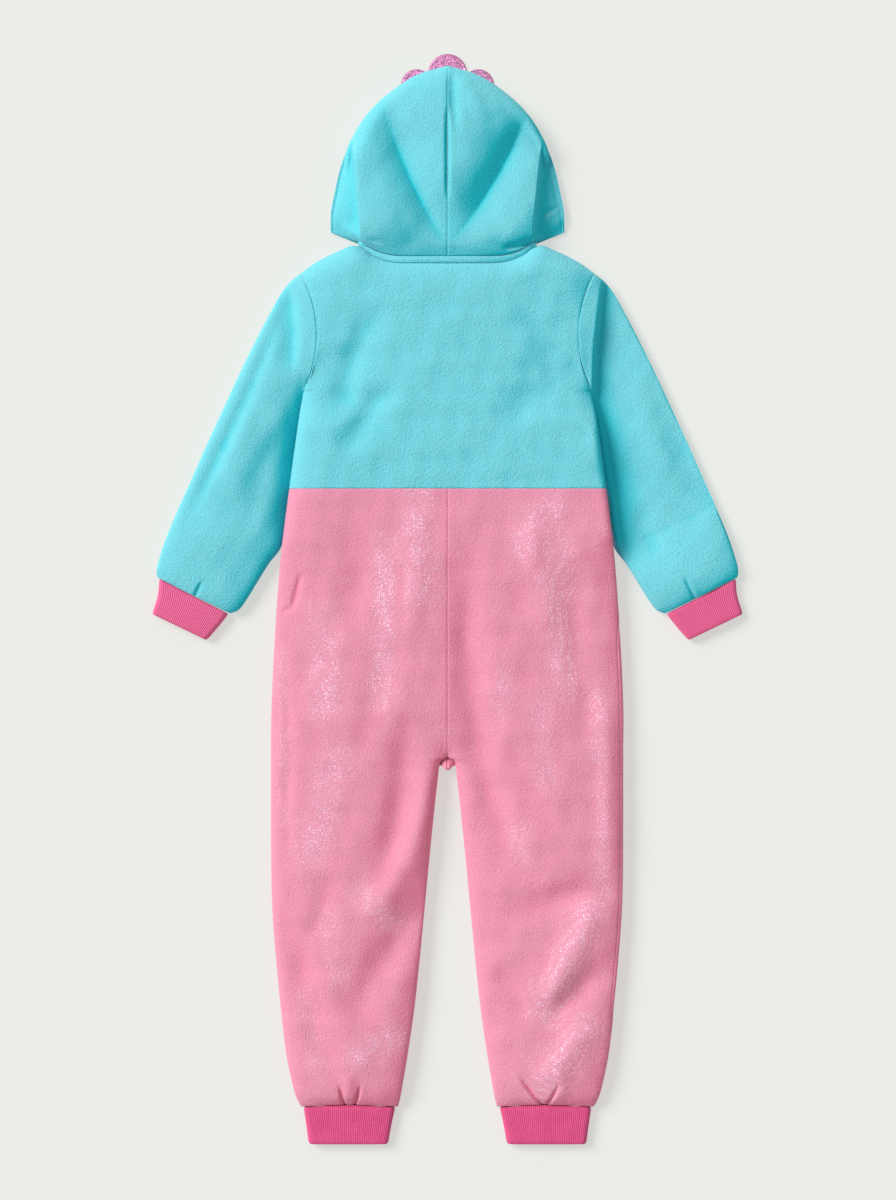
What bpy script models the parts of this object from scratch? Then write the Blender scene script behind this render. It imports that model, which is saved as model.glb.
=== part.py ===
"""A child's hooded fleece onesie pajama, laid flat on its front with its back up.

Lengths are in millimetres until a mesh is made, in metres. X runs across the garment,
Y from the ankles to the hood, Z up from the surface it lies on. The origin is the middle
of the garment's outline, on that surface. Each piece is worked out on the right side and
mirrored for the left, with folds of its own on each side.
"""

import math
from collections import namedtuple

import bmesh
import bpy
import numpy as np

MM = 0.001

# Cloth
FLEECE = 2.0  # wall of the fleece
RIB_WALL = 1.5  # wall of the cuffs under their ribs
RIB_RISE = 0.5
TAPE_WALL = 1.4
SEAM_GAP = 0.4
ROLL = 14.0  # how far in from a folded edge the underside starts to lift
PUFF = 0.75  # under 1 gives a fuller, squarer dome

# Levels along the garment
WAIST_Y = 121.0
UNDERARM_Y = 228.0
CROTCH_Y = -173.5
CROTCH_BLEND = 70.0  # the trunk's grid turns into the legs' over this length
TRUNK_BLEND = 120.0  # and their two domes into one over this
HEM_Y = -559.5
ANKLE_END_Y = -600.0
SIDE_SEAM_TOP, SIDE_SEAM_LOW, SIDE_SEAM_EASE, SIDE_SEAM_INBOARD = 0.0, -490.0, 60.0, 4.5
NECK_Y = 368.2

# Zip, on the underside
ZIP_HALF = 4.0
ZIP_LOW_Y = -60.0
ZIP_TOP_Y = 352.0
ZIP_THICK, ZIP_TOOTH_HALF, ZIP_BEVEL = 1.6, 1.5, 0.3
ZIP_CLEAR = 0.3  # its height above the surface
ZIP_EASE = 6.0  # below the zip the fronts close to their seam over this length
ZIP_ARCH_Y = (230, 262, 285, 305, 322, 338)  # rows where the strip follows the chin's arch
SLIDER_Y = 348.0
SLIDER_HALF, SLIDER_TAIL, SLIDER_HEAD, SLIDER_PLATE = 3.8, 6.0, 3.0, 1.0
SLIDER_SLOT = 0.6  # room between each plate and the strip
LUG_HALF = 1.0
PIN_Z, PIN_RADIUS, PIN_HALF = 2.1, 0.65, 3.0
TAB_LENGTH, TAB_HALF, TAB_THICK = 28.0, 3.2, 1.3
EYE_RADIUS, BORE_RADIUS, FORK_HALF, FORK_DEPTH = 1.55, 0.95, 1.4, 3.4
WINDOW_HALF, WINDOW_FROM, WINDOW_TO = 1.6, 3.0, 14.0  # from the tab's end and from its pin
CHIN_LIFT, CHIN_Y, CHIN_SPREAD_X, CHIN_SPREAD_Y = 6.0, SLIDER_Y, 26.0, 38.0

# Scalloped crest
CREST_THICK = 2.2
CREST_TOP_Y = 600.0
CREST_BASE_Y, CREST_BASE_HALF = 552.0, 46.0
CREST_LIFT = CREST_THICK + SEAM_GAP
CREST_BED_Y, CREST_BED_HALF, CREST_BED_SLOPE = 524.0, 78.0, 10.0  # the hood stands off it here
SCALLOPS = ((34.0, 567.5, 17.0), (0.0, CREST_TOP_Y - 21.4, 21.4), (-34.0, 567.5, 17.0))
SCALLOP_ARCS = ((-16, 107), (30, 150), (73, 196))  # degrees
SCALLOP_POINTS = 13

Section = namedtuple("Section", "y inner outer top middle")
BODY = (  # right half of the trunk and the right leg, from the hem up
    Section(HEM_Y, 54.5, 160.5, 14.0, 6.5),
    Section(-556, 53.5, 163.0, 17.0, 7.5),
    Section(-547, 51.5, 167.0, 21.5, 9.5),
    Section(-530, 48.5, 171.5, 25.0, 10.5),
    Section(-500, 43.5, 177.5, 26.5, 11.0),
    Section(-452, 36.5, 183.2, 27.0, 11.0),
    Section(-400, 30.8, 188.3, 27.0, 11.0),
    Section(-350, 26.0, 192.3, 27.0, 11.0),
    Section(-290, 20.2, 194.0, 27.0, 11.0),
    Section(-225, 13.6, 194.2, 27.0, 11.5),
    Section(-195, 10.2, 194.2, 27.0, 11.5),
    Section(-184, 8.9, 194.2, 27.2, 11.5),
    Section(-177, 6.0, 194.2, 27.3, 11.5),
    Section(CROTCH_Y, 0.0, 194.2, 27.4, 11.5),
    Section(-120, 0.0, 193.6, 28.0, 12.0),
    Section(-45, 0.0, 190.2, 28.5, 12.5),
    Section(40, 0.0, 184.0, 29.5, 13.0),
    Section(WAIST_Y, 0.0, 174.0, 30.0, 14.0),
    Section(176, 0.0, 166.5, 31.0, 14.0),
    Section(206, 0.0, 162.3, 31.0, 14.0),
    Section(UNDERARM_Y, 0.0, 158.2, 31.0, 14.0),
)

Sleeve = namedtuple("Sleeve", "row out_x out_y in_x in_y top out_mid in_mid in_puff bulge")
SLEEVE = (  # from the armhole to the wrist: the outer and inner folded edges
    Sleeve(0.0, 161.5, 358.0, 158.2, 228.0, 26.0, 12.0, 14.0, 0.75, 16.3),
    Sleeve(0.1, 163.3, 356.7, 159.1, 227.0, 25.8, 11.7, 13.8, 0.75, 15.4),
    Sleeve(0.6, 172.0, 350.0, 161.0, 221.0, 24.7, 10.0, 12.4, 0.80, 11.0),
    Sleeve(1.0, 180.5, 340.0, 162.4, 212.0, 23.7, 9.5, 10.0, 0.95, 7.0),
    Sleeve(2.0, 195.0, 315.0, 163.2, 192.0, 22.5, 9.0, 5.0, 1.50, 2.0),
    Sleeve(3.0, 210.0, 286.5, 166.3, 168.0, 22.0, 9.0, 4.0, 1.60, 0.0),
    Sleeve(4.0, 228.5, 249.0, 170.2, 140.0, 22.0, 9.0, 4.0, 1.60, 0.0),
    Sleeve(5.0, 247.5, 208.0, 174.0, 112.0, 22.0, 9.0, 4.0, 1.60, 0.0),
    Sleeve(6.0, 266.0, 167.5, 178.0, 84.0, 22.0, 9.0, 4.2, 1.50, 0.0),
    Sleeve(7.0, 283.0, 129.0, 183.5, 57.5, 21.5, 9.0, 6.0, 1.10, 0.0),
    Sleeve(8.0, 298.0, 95.5, 196.5, 39.0, 21.0, 9.0, 8.0, 0.80, 0.0),
    Sleeve(9.0, 310.0, 66.5, 209.0, 19.0, 20.0, 9.0, 8.5, 0.75, 0.0),
    Sleeve(10.0, 318.0, 42.0, 221.0, -0.5, 18.5, 8.5, 8.5, 0.75, 0.0),
    Sleeve(11.0, 320.5, 30.0, 230.0, -12.0, 16.0, 7.5, 7.5, 0.75, 0.0),
    Sleeve(12.0, 319.3, 23.2, 240.2, -16.0, 13.0, 6.2, 6.2, 0.75, 0.0),
)

Hood = namedtuple("Hood", "k neck_x neck_y out_x out_y face_x face_y top middle")
HOOD = (  # ribs of a fan, from the side of the neck (0) round to the centre seam (8)
    Hood(0, 93.0, 391.5, 129.0, 404.4, 5.0, 354.3, 5.4, 2.8),
    Hood(1, 84.0, 385.4, 128.6, 424.0, 25.0, 374.0, 25.0, 10.0),
    Hood(2, 72.0, 379.9, 124.0, 449.0, 41.0, 402.0, 33.0, 12.5),
    Hood(3, 59.0, 377.0, 117.3, 477.0, 51.0, 434.0, 38.0, 13.5),
    Hood(4, 46.0, 376.2, 106.5, 504.0, 54.0, 466.0, 41.0, 14.0),
    Hood(5, 33.0, 376.0, 89.5, 531.0, 50.0, 497.0, 43.0, 14.0),
    Hood(6, 21.0, 376.0, 66.5, 554.0, 40.0, 524.0, 44.0, 14.0),
    Hood(7, 10.0, 376.0, 35.0, 575.0, 22.0, 541.0, 44.0, 14.0),
    Hood(8, 0.0, 376.0, 0.0, 586.0, 0.0, 547.0, 44.0, 14.0),
)
SHOULDER = ((0.0, NECK_Y), (46, 368.4), (59, 369.4), (72, 372.6), (84, 378.4), (93, 384.9))
SHOULDER_END = ((104, 388.6), (116, 384.3), (134, 376.0), (149, 367.6), (161.5, 358.0))
NECK_CORNER = SHOULDER_END[0]
NECK_TOP, SHOULDER_MID = 23.0, 12.0  # heights at the back of the neck and shoulder point
NECK_FLAT_X, SHOULDER_X = 25.0, 120.0  # between these the seam falls from one to the other
SHOULDER_ROLL = 28.0
SHOULDER_LOW_X = 80.0  # the front turns up to the shoulder seam outside this
TAPE_RISE = 0.9
TAPE_LEVELS = ((0.0, 0.0), (0.3, TAPE_RISE), (0.7, TAPE_RISE), (0.92, 0.0))

Cuff = namedtuple("Cuff", "out_x out_y in_x in_y thick")
WRIST_CUFF = (
    Cuff(317.8, 22.4, 241.4, -16.6, 11.5),
    Cuff(319.4, 4.0, 252.0, -30.0, 11.0),
    Cuff(325.6, -16.3, 265.3, -45.3, 10.5),
)
ANKLE_CUFF = (
    Cuff(158.6, HEM_Y - SEAM_GAP, 57.4, HEM_Y - SEAM_GAP, 12.5),
    Cuff(155.6, -580.0, 61.8, -580.0, 12.0),
    Cuff(153.0, ANKLE_END_Y, 65.4, ANKLE_END_Y, 11.5),
)
WRIST_RIBS, ANKLE_RIBS = 50, 64
CUFF_CROWN = 1.2
HEM_BOW = 3.0  # the ankle seam arches up this much at its middle

# A trough runs from one point to another, bowed sideways. Negative depths are ridges.
Fold = namedtuple("Fold", "piece x0 y0 x1 y1 bow depth width")
FOLDS = (
    Fold("hood", -68, 520, -17, 402, -8, 9.0, 13.0),
    Fold("hood", 74, 518, 12, 402, 8, 11.0, 14.0),
    Fold("hood", -111, 498, -101, 404, -2, 7.0, 7.0),
    Fold("hood", 112, 492, 101, 400, 2, 9.0, 8.0),
    Fold("hood", 0, 600, 0, 360, 0, 1.6, 5.0),
    Fold("leg", 0, 130, 0, -190, 0, 1.4, 5.0),
    Fold("leg", -44, -138, -72, -322, -7, 6.0, 16.0),
    Fold("leg", -18, -172, -98, -358, -19, -3.5, 13.0),
    Fold("leg", -20, -298, -124, -466, 3, 7.0, 15.0),
    Fold("leg", -72, -470, -134, -436, 9, 4.0, 12.0),
    Fold("leg", -182, -320, -116, -548, 3, 5.0, 15.0),
    Fold("leg", 27, 66, 84, -326, 27, 5.5, 17.0),
    Fold("leg", 66, -346, 168, -322, 0, 5.5, 15.0),
    Fold("leg", 160, -345, 110, -455, 2, -3.5, 13.0),
    Fold("leg", 182, -400, 112, -478, 6, 6.0, 14.0),
    Fold("leg", 150, -474, 98, -534, 0, -3.0, 12.0),
    Fold("leg", -118, -538, -111, -566, 0, 6.5, 4.5),
    Fold("leg", -96, -534, -107, -566, 0, 6.5, 4.5),
    Fold("leg", 82, -518, 105, -566, 4, 7.0, 6.0),
    Fold("leg", 120, -524, 107, -566, 0, 5.0, 5.0),
    Fold("leg", -158, 22, -172, -16, 0, 4.0, 6.0),
    Fold("bodice", 140, 250, 60, 178, 10, 3.0, 16.0),
    Fold("bodice", -120, 245, -55, 175, 8, 3.0, 16.0),
    Fold("sleeve", 174, 338, 169, 240, 3, 9.0, 8.5),
    Fold("sleeve", -176, 336, -171, 262, -3, 6.0, 8.0),
    Fold("sleeve", -198, 296, -292, 84, -4, 3.5, 11.0),
    Fold("sleeve", 188, 130, 205, 70, 4, 4.0, 9.0),
    Fold("sleeve", 262, 30, 254, -12, 0, 4.5, 5.0),
    Fold("sleeve", -271, 28, -280, 0, 0, 4.5, 5.0),
)

# How much each surface is divided
LEG_COLUMNS = np.linspace(0.0, 1.0, 15)
FRONT_LEG_COLUMNS = np.array([0.0, 0.06, 0.13, 0.22, 0.5, 0.78, 0.87, 0.94, 1.0])
LEG_ROWS = np.array(
    [HEM_Y, -557, -550, -538, -512, -484, -456, -428, -400, -372, -344, -316, -288, -260]
    + [-232, -205, -184, -177, CROTCH_Y, -168, -158, -142, -115, -88, ZIP_LOW_Y - ZIP_EASE]
    + [ZIP_LOW_Y, -20, 40, WAIST_Y]
)
SIDE_ROWS = np.linspace(0.0, 1.0, 5)
SLEEVE_ROWS = np.array([0.03, 0.35, 0.75, 1.2, 1.8, 2.6, 3.6, 4.8, 6, 7, 8, 9, 10, 11, 11.6, 12])
ARMHOLE_ROWS = 8
HOOD_TOP_COLUMNS, HOOD_LOW_COLUMNS = 12, 6
HOOD_RIBS = np.array([0, 0.3, 0.65, 1.1, 1.8, 2.6, 3.5, 4.4, 5.3, 6.2, 7.1, 8.0])

COLOURS = {  # base colour, roughness, metallic
    "aqua_fleece": ((0.14, 0.64, 0.72), 0.9, 0.0),
    "pink_fleece": ((0.89, 0.33, 0.48), 0.8, 0.0),
    "rib_knit": ((0.75, 0.09, 0.27), 0.85, 0.0),
    "glitter": ((0.70, 0.20, 0.45), 0.45, 0.2),
    "zip_tape": ((0.75, 0.20, 0.35), 0.7, 0.0),
    "zip_metal": ((0.75, 0.75, 0.76), 0.3, 1.0),
}


def smooth(xs, ys, x):
    """A monotone cubic through the points, held at its end values past them."""
    xs, ys = np.asarray(xs, float), np.asarray(ys, float)
    x = np.clip(x, xs[0], xs[-1])
    step, rise = np.diff(xs), np.diff(ys) / np.diff(xs)
    slope = np.concatenate([rise[:1], (rise[1:] + rise[:-1]) / 2, rise[-1:]])
    slope[1:-1][rise[1:] * rise[:-1] <= 0] = 0.0
    steepest = 3 * np.minimum(np.abs(np.append(rise, rise[-1])), np.abs(np.append(rise[0], rise)))
    slope = np.clip(slope, -steepest, steepest)
    i = np.clip(np.searchsorted(xs, x, side="right") - 1, 0, len(step) - 1)
    t = (x - xs[i]) / step[i]
    return (
        ys[i] * (1 + 2 * t) * (1 - t) ** 2
        + ys[i + 1] * t * t * (3 - 2 * t)
        + step[i] * t * (1 - t) * (slope[i] * (1 - t) - slope[i + 1] * t)
    )


def column(table, name, at):
    return smooth([row[0] for row in table], [getattr(row, name) for row in table], at)


def ease(t):
    t = np.clip(t, 0.0, 1.0)
    return t * t * (3 - 2 * t)


def quarter(distance, width):
    """1 at a folded edge and 0 from width inwards, as a quarter of an ellipse."""
    t = 1 - np.clip(distance / width, 0.0, 1.0)
    return 1 - np.sqrt(1 - t * t)


def fold_depth(piece, x, y):
    """How far the folds of a piece lower its top at a place."""
    total = np.zeros(np.broadcast(x, y).shape)
    for fold in (f for f in FOLDS if f.piece == piece):
        along = np.array([fold.x1 - fold.x0, fold.y1 - fold.y0], float)
        length = np.hypot(*along)
        along /= length
        t = ((x - fold.x0) * along[0] + (y - fold.y0) * along[1]) / length
        off = (x - fold.x0) * along[1] - (y - fold.y0) * along[0]
        off = off - fold.bow * 4 * np.clip(t, 0, 1) * (1 - np.clip(t, 0, 1))
        ends = ease(t / 0.3) * ease((1 - t) / 0.3)
        total += fold.depth * ends * np.exp(-((off / fold.width) ** 2))
    return total


def lift(x, y):
    """How far the underside stands off the surface, over the zip's slider and the crest."""
    chin = np.exp(-((x / CHIN_SPREAD_X) ** 2) - ((y - CHIN_Y) / CHIN_SPREAD_Y) ** 2)
    crest = ease((y - CREST_BED_Y) / CREST_BED_SLOPE)
    crest = crest * ease((CREST_BED_HALF - np.abs(x)) / CREST_BED_SLOPE)
    return CHIN_LIFT * chin + CREST_LIFT * crest


def rounded(distance, width):
    """0 at a folded edge and 1 from width inwards, as a rounded dome."""
    return (1 - (1 - np.clip(distance / width, 0.0, 1.0)) ** 2) ** (PUFF / 2)


def body_turn(y):
    """How far round a ring's points are spread: a quarter turn in the trunk, a half in a leg."""
    return math.pi / 2 * (1 + ease((CROTCH_Y + CROTCH_BLEND - y) / CROTCH_BLEND))


def body_ring(side, y, t):
    """The trunk's half or the leg at y. t is 1 at its inner top, 0 at its outer edge, -1 below."""
    inner, outer = column(BODY, "inner", y), column(BODY, "outer", y)
    top, middle = column(BODY, "top", y), column(BODY, "middle", y)
    turn = body_turn(y)
    share = (1 - np.cos(t * turn)) / (1 - np.cos(turn))
    x = outer - (outer - inner) * share
    above_crotch = np.maximum(y - CROTCH_Y, 0.0)
    from_inner = np.hypot(x - inner, above_crotch)
    half = (outer - inner) / 2
    outer_width = half * (1 + ease(above_crotch / TRUNK_BLEND))
    rise = rounded(from_inner, half) * rounded(outer - x, outer_width)
    dome = middle + (top - middle) * rise
    dome = dome - fold_depth("leg", side * x, y) * ease(rise / 0.75)
    floor = middle * quarter(np.minimum(outer - x, from_inner), ROLL) + lift(x, y)
    bow = HEM_BOW * ease((HEM_Y + ROLL - y) / ROLL) * 4 * share * (1 - share) * (t > 0)
    return np.stack([x, y + bow, np.where(t >= 0, dome, floor)], -1)


def seam_turn(side, y):
    """t of the side seam: on the right leg it lies a little way in on the top."""
    along = ease((SIDE_SEAM_TOP - y) / SIDE_SEAM_EASE) * ease((y - SIDE_SEAM_LOW) / SIDE_SEAM_EASE)
    inboard = np.where(side > 0, SIDE_SEAM_INBOARD * along, 0.0)
    width = column(BODY, "outer", y) - column(BODY, "inner", y)
    turn = body_turn(y)
    return np.arccos(1 - inboard / width * (1 - np.cos(turn))) / turn


def back_leg(side):
    """u is 0 at the inner top and 1 at the side seam; v is y."""
    return lambda u, v: body_ring(side, v, 1 - (1 - seam_turn(side, v)) * u)


def front_leg(side):
    """u is 0 at the side seam and 1 at the middle of the front; v is y."""

    def surface(u, v):
        seam = seam_turn(side, v)
        points = body_ring(side, v, seam - (1 + seam) * u)
        opening = (ZIP_HALF + SEAM_GAP) * ease((v - ZIP_LOW_Y + ZIP_EASE) / ZIP_EASE)
        points[..., 0] += opening * (1 - points[..., 0] / column(BODY, "outer", v))
        return points

    return surface


def sleeve_ring(side, row, angle):
    """angle is 0 at the sleeve's outer edge, pi at its inner edge, and past pi underneath."""

    def get(name):
        return column(SLEEVE, name, row)

    share = (1 - np.cos(angle)) / 2
    out_x, out_y, in_x, in_y = get("out_x"), get("out_y"), get("in_x"), get("in_y")
    x = out_x + (in_x - out_x) * share - get("bulge") * np.sin(angle) ** 2
    y = out_y + (in_y - out_y) * share
    middle = get("out_mid") + (get("in_mid") - get("out_mid")) * share
    puff = PUFF + (get("in_puff") - PUFF) * share
    dome = middle + (get("top") - middle) * np.abs(np.sin(angle)) ** puff
    dip = fold_depth("sleeve", side * x, y) * ease(np.abs(np.sin(angle)) / 0.5) * ease(row / 0.7)
    width = np.hypot(in_x - out_x, in_y - out_y)
    edge = width * np.minimum(share, 1 - share)
    floor = middle * quarter(edge, ROLL)
    over = np.sin(angle) >= 0
    return np.stack([x, y, np.where(over, np.maximum(dome - dip, middle), floor)], -1)


def sleeve(side):
    """u is the angle round the sleeve; v is its row."""
    return lambda u, v: sleeve_ring(side, v, u)


def top_line(x):
    """The bodice's top edge: the neck seam, then the shoulder seam."""
    points = SHOULDER + SHOULDER_END
    return smooth([p[0] for p in points], [p[1] for p in points], np.abs(x))


def neck_height(x):
    """Height of the back neck seam, and of the shoulder seam outside it."""
    share = ease((np.abs(x) - NECK_FLAT_X) / (SHOULDER_X - NECK_FLAT_X))
    return NECK_TOP + (SHOULDER_MID - NECK_TOP) * share


NECK_X = column(HOOD, "neck_x", HOOD_RIBS)[::-1]
TOP_LINE_X = np.concatenate([NECK_X, [point[0] for point in SHOULDER_END]])
BODICE_COLUMNS = np.linspace(0.0, 1.0, len(TOP_LINE_X))


def bodice_column(u, rise):
    """Share of the half width at column u, which spreads to the neck's points at the top."""
    top = smooth(BODICE_COLUMNS, TOP_LINE_X / TOP_LINE_X[-1], u)
    return (1 - rise) * np.sin(math.pi / 2 * u) + rise * top


def back_bodice(side):
    """u is 0 at the centre and 1 at the side; v is 0 to 1 up the side seam, 1 to 2 up the armhole."""

    def surface(u, v):
        low = body_ring(side, WAIST_Y + (UNDERARM_Y - WAIST_Y) * np.clip(v, 0, 1), 1 - u)
        low[..., 2] -= fold_depth("bodice", side * low[..., 0], low[..., 1]) * ease((1 - u) * 3)
        rise = np.clip(v - 1, 0, 1)
        armhole = sleeve_ring(side, 0 * rise, math.pi * (1 - rise))
        share = bodice_column(u, rise)
        x = armhole[..., 0] * share
        centre = UNDERARM_Y + (NECK_Y - UNDERARM_Y) * (1 - np.cos(math.pi * rise)) / 2
        level = centre + (armhole[..., 1] - centre) * share**2
        beyond = top_line(armhole[..., 0]) - armhole[..., 1]
        y = level + (top_line(x) - level - share**4 * beyond) * rise**4
        domed = 0.5 * PUFF + (1 - 0.5 * PUFF) * ease(rise / 0.3)
        dome = armhole[..., 2] + (BODY[-1].top - armhole[..., 2]) * np.abs(1 - share**2) ** domed
        dome -= fold_depth("bodice", side * x, y) * ease((1 - share) * 6)
        roll = quarter(top_line(x) - y, SHOULDER_ROLL) * (1 - share**6)
        high = np.stack([x, y, dome + (neck_height(x) - dome) * roll], -1)
        return np.where((v <= 1)[..., None], low, high)

    return surface


def front_neckline(x):
    """The front's top edge: the neckline from the zip to the neck point, then the shoulder seam."""
    seam = HOOD[0]
    slope = (seam.out_y - seam.face_y) / (seam.out_x - seam.face_x)
    neck = np.minimum(seam.face_y + (x - seam.face_x) * slope, NECK_CORNER[1])
    return np.where(x < NECK_CORNER[0], neck, top_line(x))


def front_bodice(side):
    """u is 0 at the side and 1 at the zip; v as for the back."""

    def surface(u, v):
        low = body_ring(side, WAIST_Y + (UNDERARM_Y - WAIST_Y) * np.clip(v, 0, 1), -u)
        rise = np.clip(v - 1, 0, 1)
        armhole = sleeve_ring(side, 0 * rise, math.pi * (1 + rise))
        share = bodice_column(1 - u, rise)
        x = armhole[..., 0] * share
        centre = UNDERARM_Y + (HOOD[0].face_y - UNDERARM_Y) * (1 - np.cos(math.pi * rise)) / 2
        level = centre + (armhole[..., 1] - centre) * share**2
        beyond = front_neckline(armhole[..., 0]) - armhole[..., 1]
        y = level + (front_neckline(x) - level - share**4 * beyond) * rise**4
        side_roll = armhole[..., 2] * quarter(armhole[..., 0] - x, ROLL)
        outside = ease((x - SHOULDER_LOW_X) / (NECK_CORNER[0] - SHOULDER_LOW_X))
        shoulder = neck_height(x) * quarter(top_line(x) - y, ROLL) * outside
        high = np.stack([x, y, np.maximum(side_roll, shoulder) + lift(x, y)], -1)
        points = np.where((v <= 1)[..., None], low, high)
        points[..., 0] += (ZIP_HALF + SEAM_GAP) * (1 - share)
        return points

    return surface


def hood_fan(side):
    """u is 0 at the neck, 1 at the hood's outline and 2 at the face opening; v is the fan's rib."""

    def surface(u, v):
        def get(name):
            return column(HOOD, name, v)

        neck = np.stack([get("neck_x"), get("neck_y")], -1)
        outline = np.stack([get("out_x"), get("out_y")], -1)
        face = np.stack([get("face_x"), get("face_y")], -1)
        top, middle = get("top"), get("middle")
        over = np.sin(math.pi / 2 * np.clip(u, 0, 1))
        plan = neck + (outline - neck) * over[..., None]
        start = neck_height(get("neck_x"))
        dome = middle + (top - middle) * np.abs(1 - over**2.2) ** 0.42
        near = np.clip(1 - over / 0.45, 0, 1)
        dome -= (top - start) * near**2 * (1 + 2 * (1 - near) * np.clip(1 - v, 0, 1))
        dip = fold_depth("hood", side * plan[..., 0], plan[..., 1])
        dome = np.maximum(dome - dip * ease(over / 0.15) * ease((1 - over) / 0.08), middle)
        under = 1 - np.cos(math.pi / 2 * np.clip(u - 1, 0, 1))
        below = outline + (face - outline) * under[..., None]
        edge = under * np.hypot(*np.moveaxis(outline - face, -1, 0))
        floor = middle * quarter(edge, ROLL) + lift(below[..., 0], below[..., 1])
        high = np.concatenate([plan, dome[..., None]], -1)
        low = np.concatenate([below, floor[..., None]], -1)
        return np.where((u <= 1)[..., None], high, low)

    return surface


def walls(surface, u, v, thickness, wrap=False, armhole=None):
    """Outer and inner points of a cloth wall over the grid v by u, seam gaps taken off its edges.

    Where armhole is true the wall's thickness runs square to X, so the pieces' walls agree there.
    """
    uu, vv = np.meshgrid(u, v)
    step_u, step_v = (u[-1] - u[0]) * 1e-4, (v[-1] - v[0]) * 1e-4
    outer = surface(uu, vv)
    low_u, high_u = uu - step_u, uu + step_u
    if not wrap:
        low_u, high_u = np.clip([low_u, high_u], min(u), max(u))
    low_v, high_v = np.clip([vv - step_v, vv + step_v], min(v), max(v))
    across = surface(high_u, vv) - surface(low_u, vv)
    along = surface(uu, high_v) - surface(uu, low_v)
    normal = np.cross(across, along)
    if armhole:
        seam = armhole(uu, vv)
        square = np.cross((across if wrap else along)[seam], (1.0, 0.0, 0.0))
        normal[seam] = square * np.sign(np.sum(square * normal[seam], -1, keepdims=True))
    normal /= np.linalg.norm(normal, axis=-1, keepdims=True)
    grids = [outer, outer - normal * thickness]
    on_centre = np.abs(outer[..., 0]) < 1e-6
    grids[1][on_centre, 0] = 0.0
    for grid in grids:
        trim(grid)
        if not wrap:
            trim(np.swapaxes(grid, 0, 1))
    return grids


def trim(grid):
    """Draws the first and last rows in by half a seam gap."""
    for edge, inside in ((0, 1), (-1, -2)):
        toward = grid[inside] - grid[edge]
        toward /= np.maximum(np.linalg.norm(toward, axis=-1, keepdims=True), 1e-9)
        grid[edge] += toward * SEAM_GAP / 2


def add_piece(name, mesh_builder, colour):
    """An object from faces, turned so that they face out."""
    mesh = bpy.data.meshes.new(name)
    piece = bmesh.new()
    mesh_builder(piece)
    bmesh.ops.recalc_face_normals(piece, faces=piece.faces)
    if piece.calc_volume(signed=True) < 0:
        bmesh.ops.reverse_faces(piece, faces=piece.faces)
    piece.to_mesh(mesh)
    piece.free()
    mesh.shade_smooth()
    mesh.set_sharp_from_angle(angle=math.radians(40))
    return link_piece(name, mesh, colour)


def link_piece(name, data, colour):
    made = bpy.data.objects.new(name, data)
    data.materials.clear()
    data.materials.append(material(colour))
    bpy.data.collections["onesie"].objects.link(made)
    return made


def material(name):
    if name in bpy.data.materials:
        return bpy.data.materials[name]
    made = bpy.data.materials.new(name)
    made.use_nodes = True
    shader = made.node_tree.nodes["Principled BSDF"]
    rgb, roughness, metallic = COLOURS[name]
    shader.inputs["Base Color"].default_value = (*rgb, 1.0)
    shader.inputs["Roughness"].default_value = roughness
    shader.inputs["Metallic"].default_value = metallic
    return made


def sheet_faces(piece, grids, side, wrap):
    """Joins a wall's outer and inner grids into one closed body."""
    rows, columns = grids[0].shape[:2]
    mirror = np.array([side, 1.0, 1.0]) * MM
    outer, inner = ([[piece.verts.new(p * mirror) for p in row] for row in g] for g in grids)
    across = range(columns) if wrap else range(columns - 1)
    for j in range(rows - 1):
        for i in across:
            n = (i + 1) % columns
            piece.faces.new((outer[j][i], outer[j][n], outer[j + 1][n], outer[j + 1][i]))
            piece.faces.new((inner[j][i], inner[j + 1][i], inner[j + 1][n], inner[j][n]))
    for i in across:
        n = (i + 1) % columns
        for j in (0, rows - 1):
            piece.faces.new((outer[j][i], inner[j][i], inner[j][n], outer[j][n]))
    if not wrap:
        for j in range(rows - 1):
            for i in (0, columns - 1):
                piece.faces.new((outer[j][i], outer[j + 1][i], inner[j + 1][i], inner[j][i]))


def cloth(name, surface, u, v, colour, side=1, wrap=False, armhole=None):
    """A piece of fleece over the grid v by u of a surface."""
    grids = walls(surface, np.asarray(u, float), np.asarray(v, float), FLEECE, wrap, armhole)
    return add_piece(name, lambda piece: sheet_faces(piece, grids, side, wrap), colour)


def stadium(share, half, radius):
    """A point and its normal at a share of the way round a flattened ring."""
    straight = 2 * (half - radius)
    end = math.pi * radius
    way = share % 1.0 * 2 * (straight + end)
    if way < straight:
        return (half - radius - way, radius), (0.0, 1.0)
    if way < straight + end:
        turn = math.pi / 2 + (way - straight) / radius
        centre = radius - half
    elif way < 2 * straight + end:
        return (radius - half + way - straight - end, -radius), (0.0, -1.0)
    else:
        turn = -math.pi / 2 + (way - 2 * straight - end) / radius
        centre = half - radius
    normal = (math.cos(turn), math.sin(turn))
    return (centre + radius * normal[0], radius * normal[1]), normal


def cuff_ring(section, count, inset, bow):
    """count points round a cuff's section. Every other one of the outer points is a rib."""
    out, inside = np.array(section[:2]), np.array(section[2:4])
    half, radius = np.hypot(*(out - inside)) / 2, section.thick / 2
    points = []
    for i in range(count):
        (across, up), normal = stadium((i + 0.25) / count, half, radius)
        raised = -inset if inset else -RIB_RISE * (i % 2)
        plan = (out + inside) / 2 + (out - inside) / (2 * half) * (across + normal[0] * raised)
        crown = CUFF_CROWN * (1 - (across / half) ** 2) * (up > 0)
        arch = bow * (1 - (across / half) ** 2) * (up > 0)
        points.append((plan[0], plan[1] + arch, radius + up + normal[1] * raised + crown))
    return points


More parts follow.
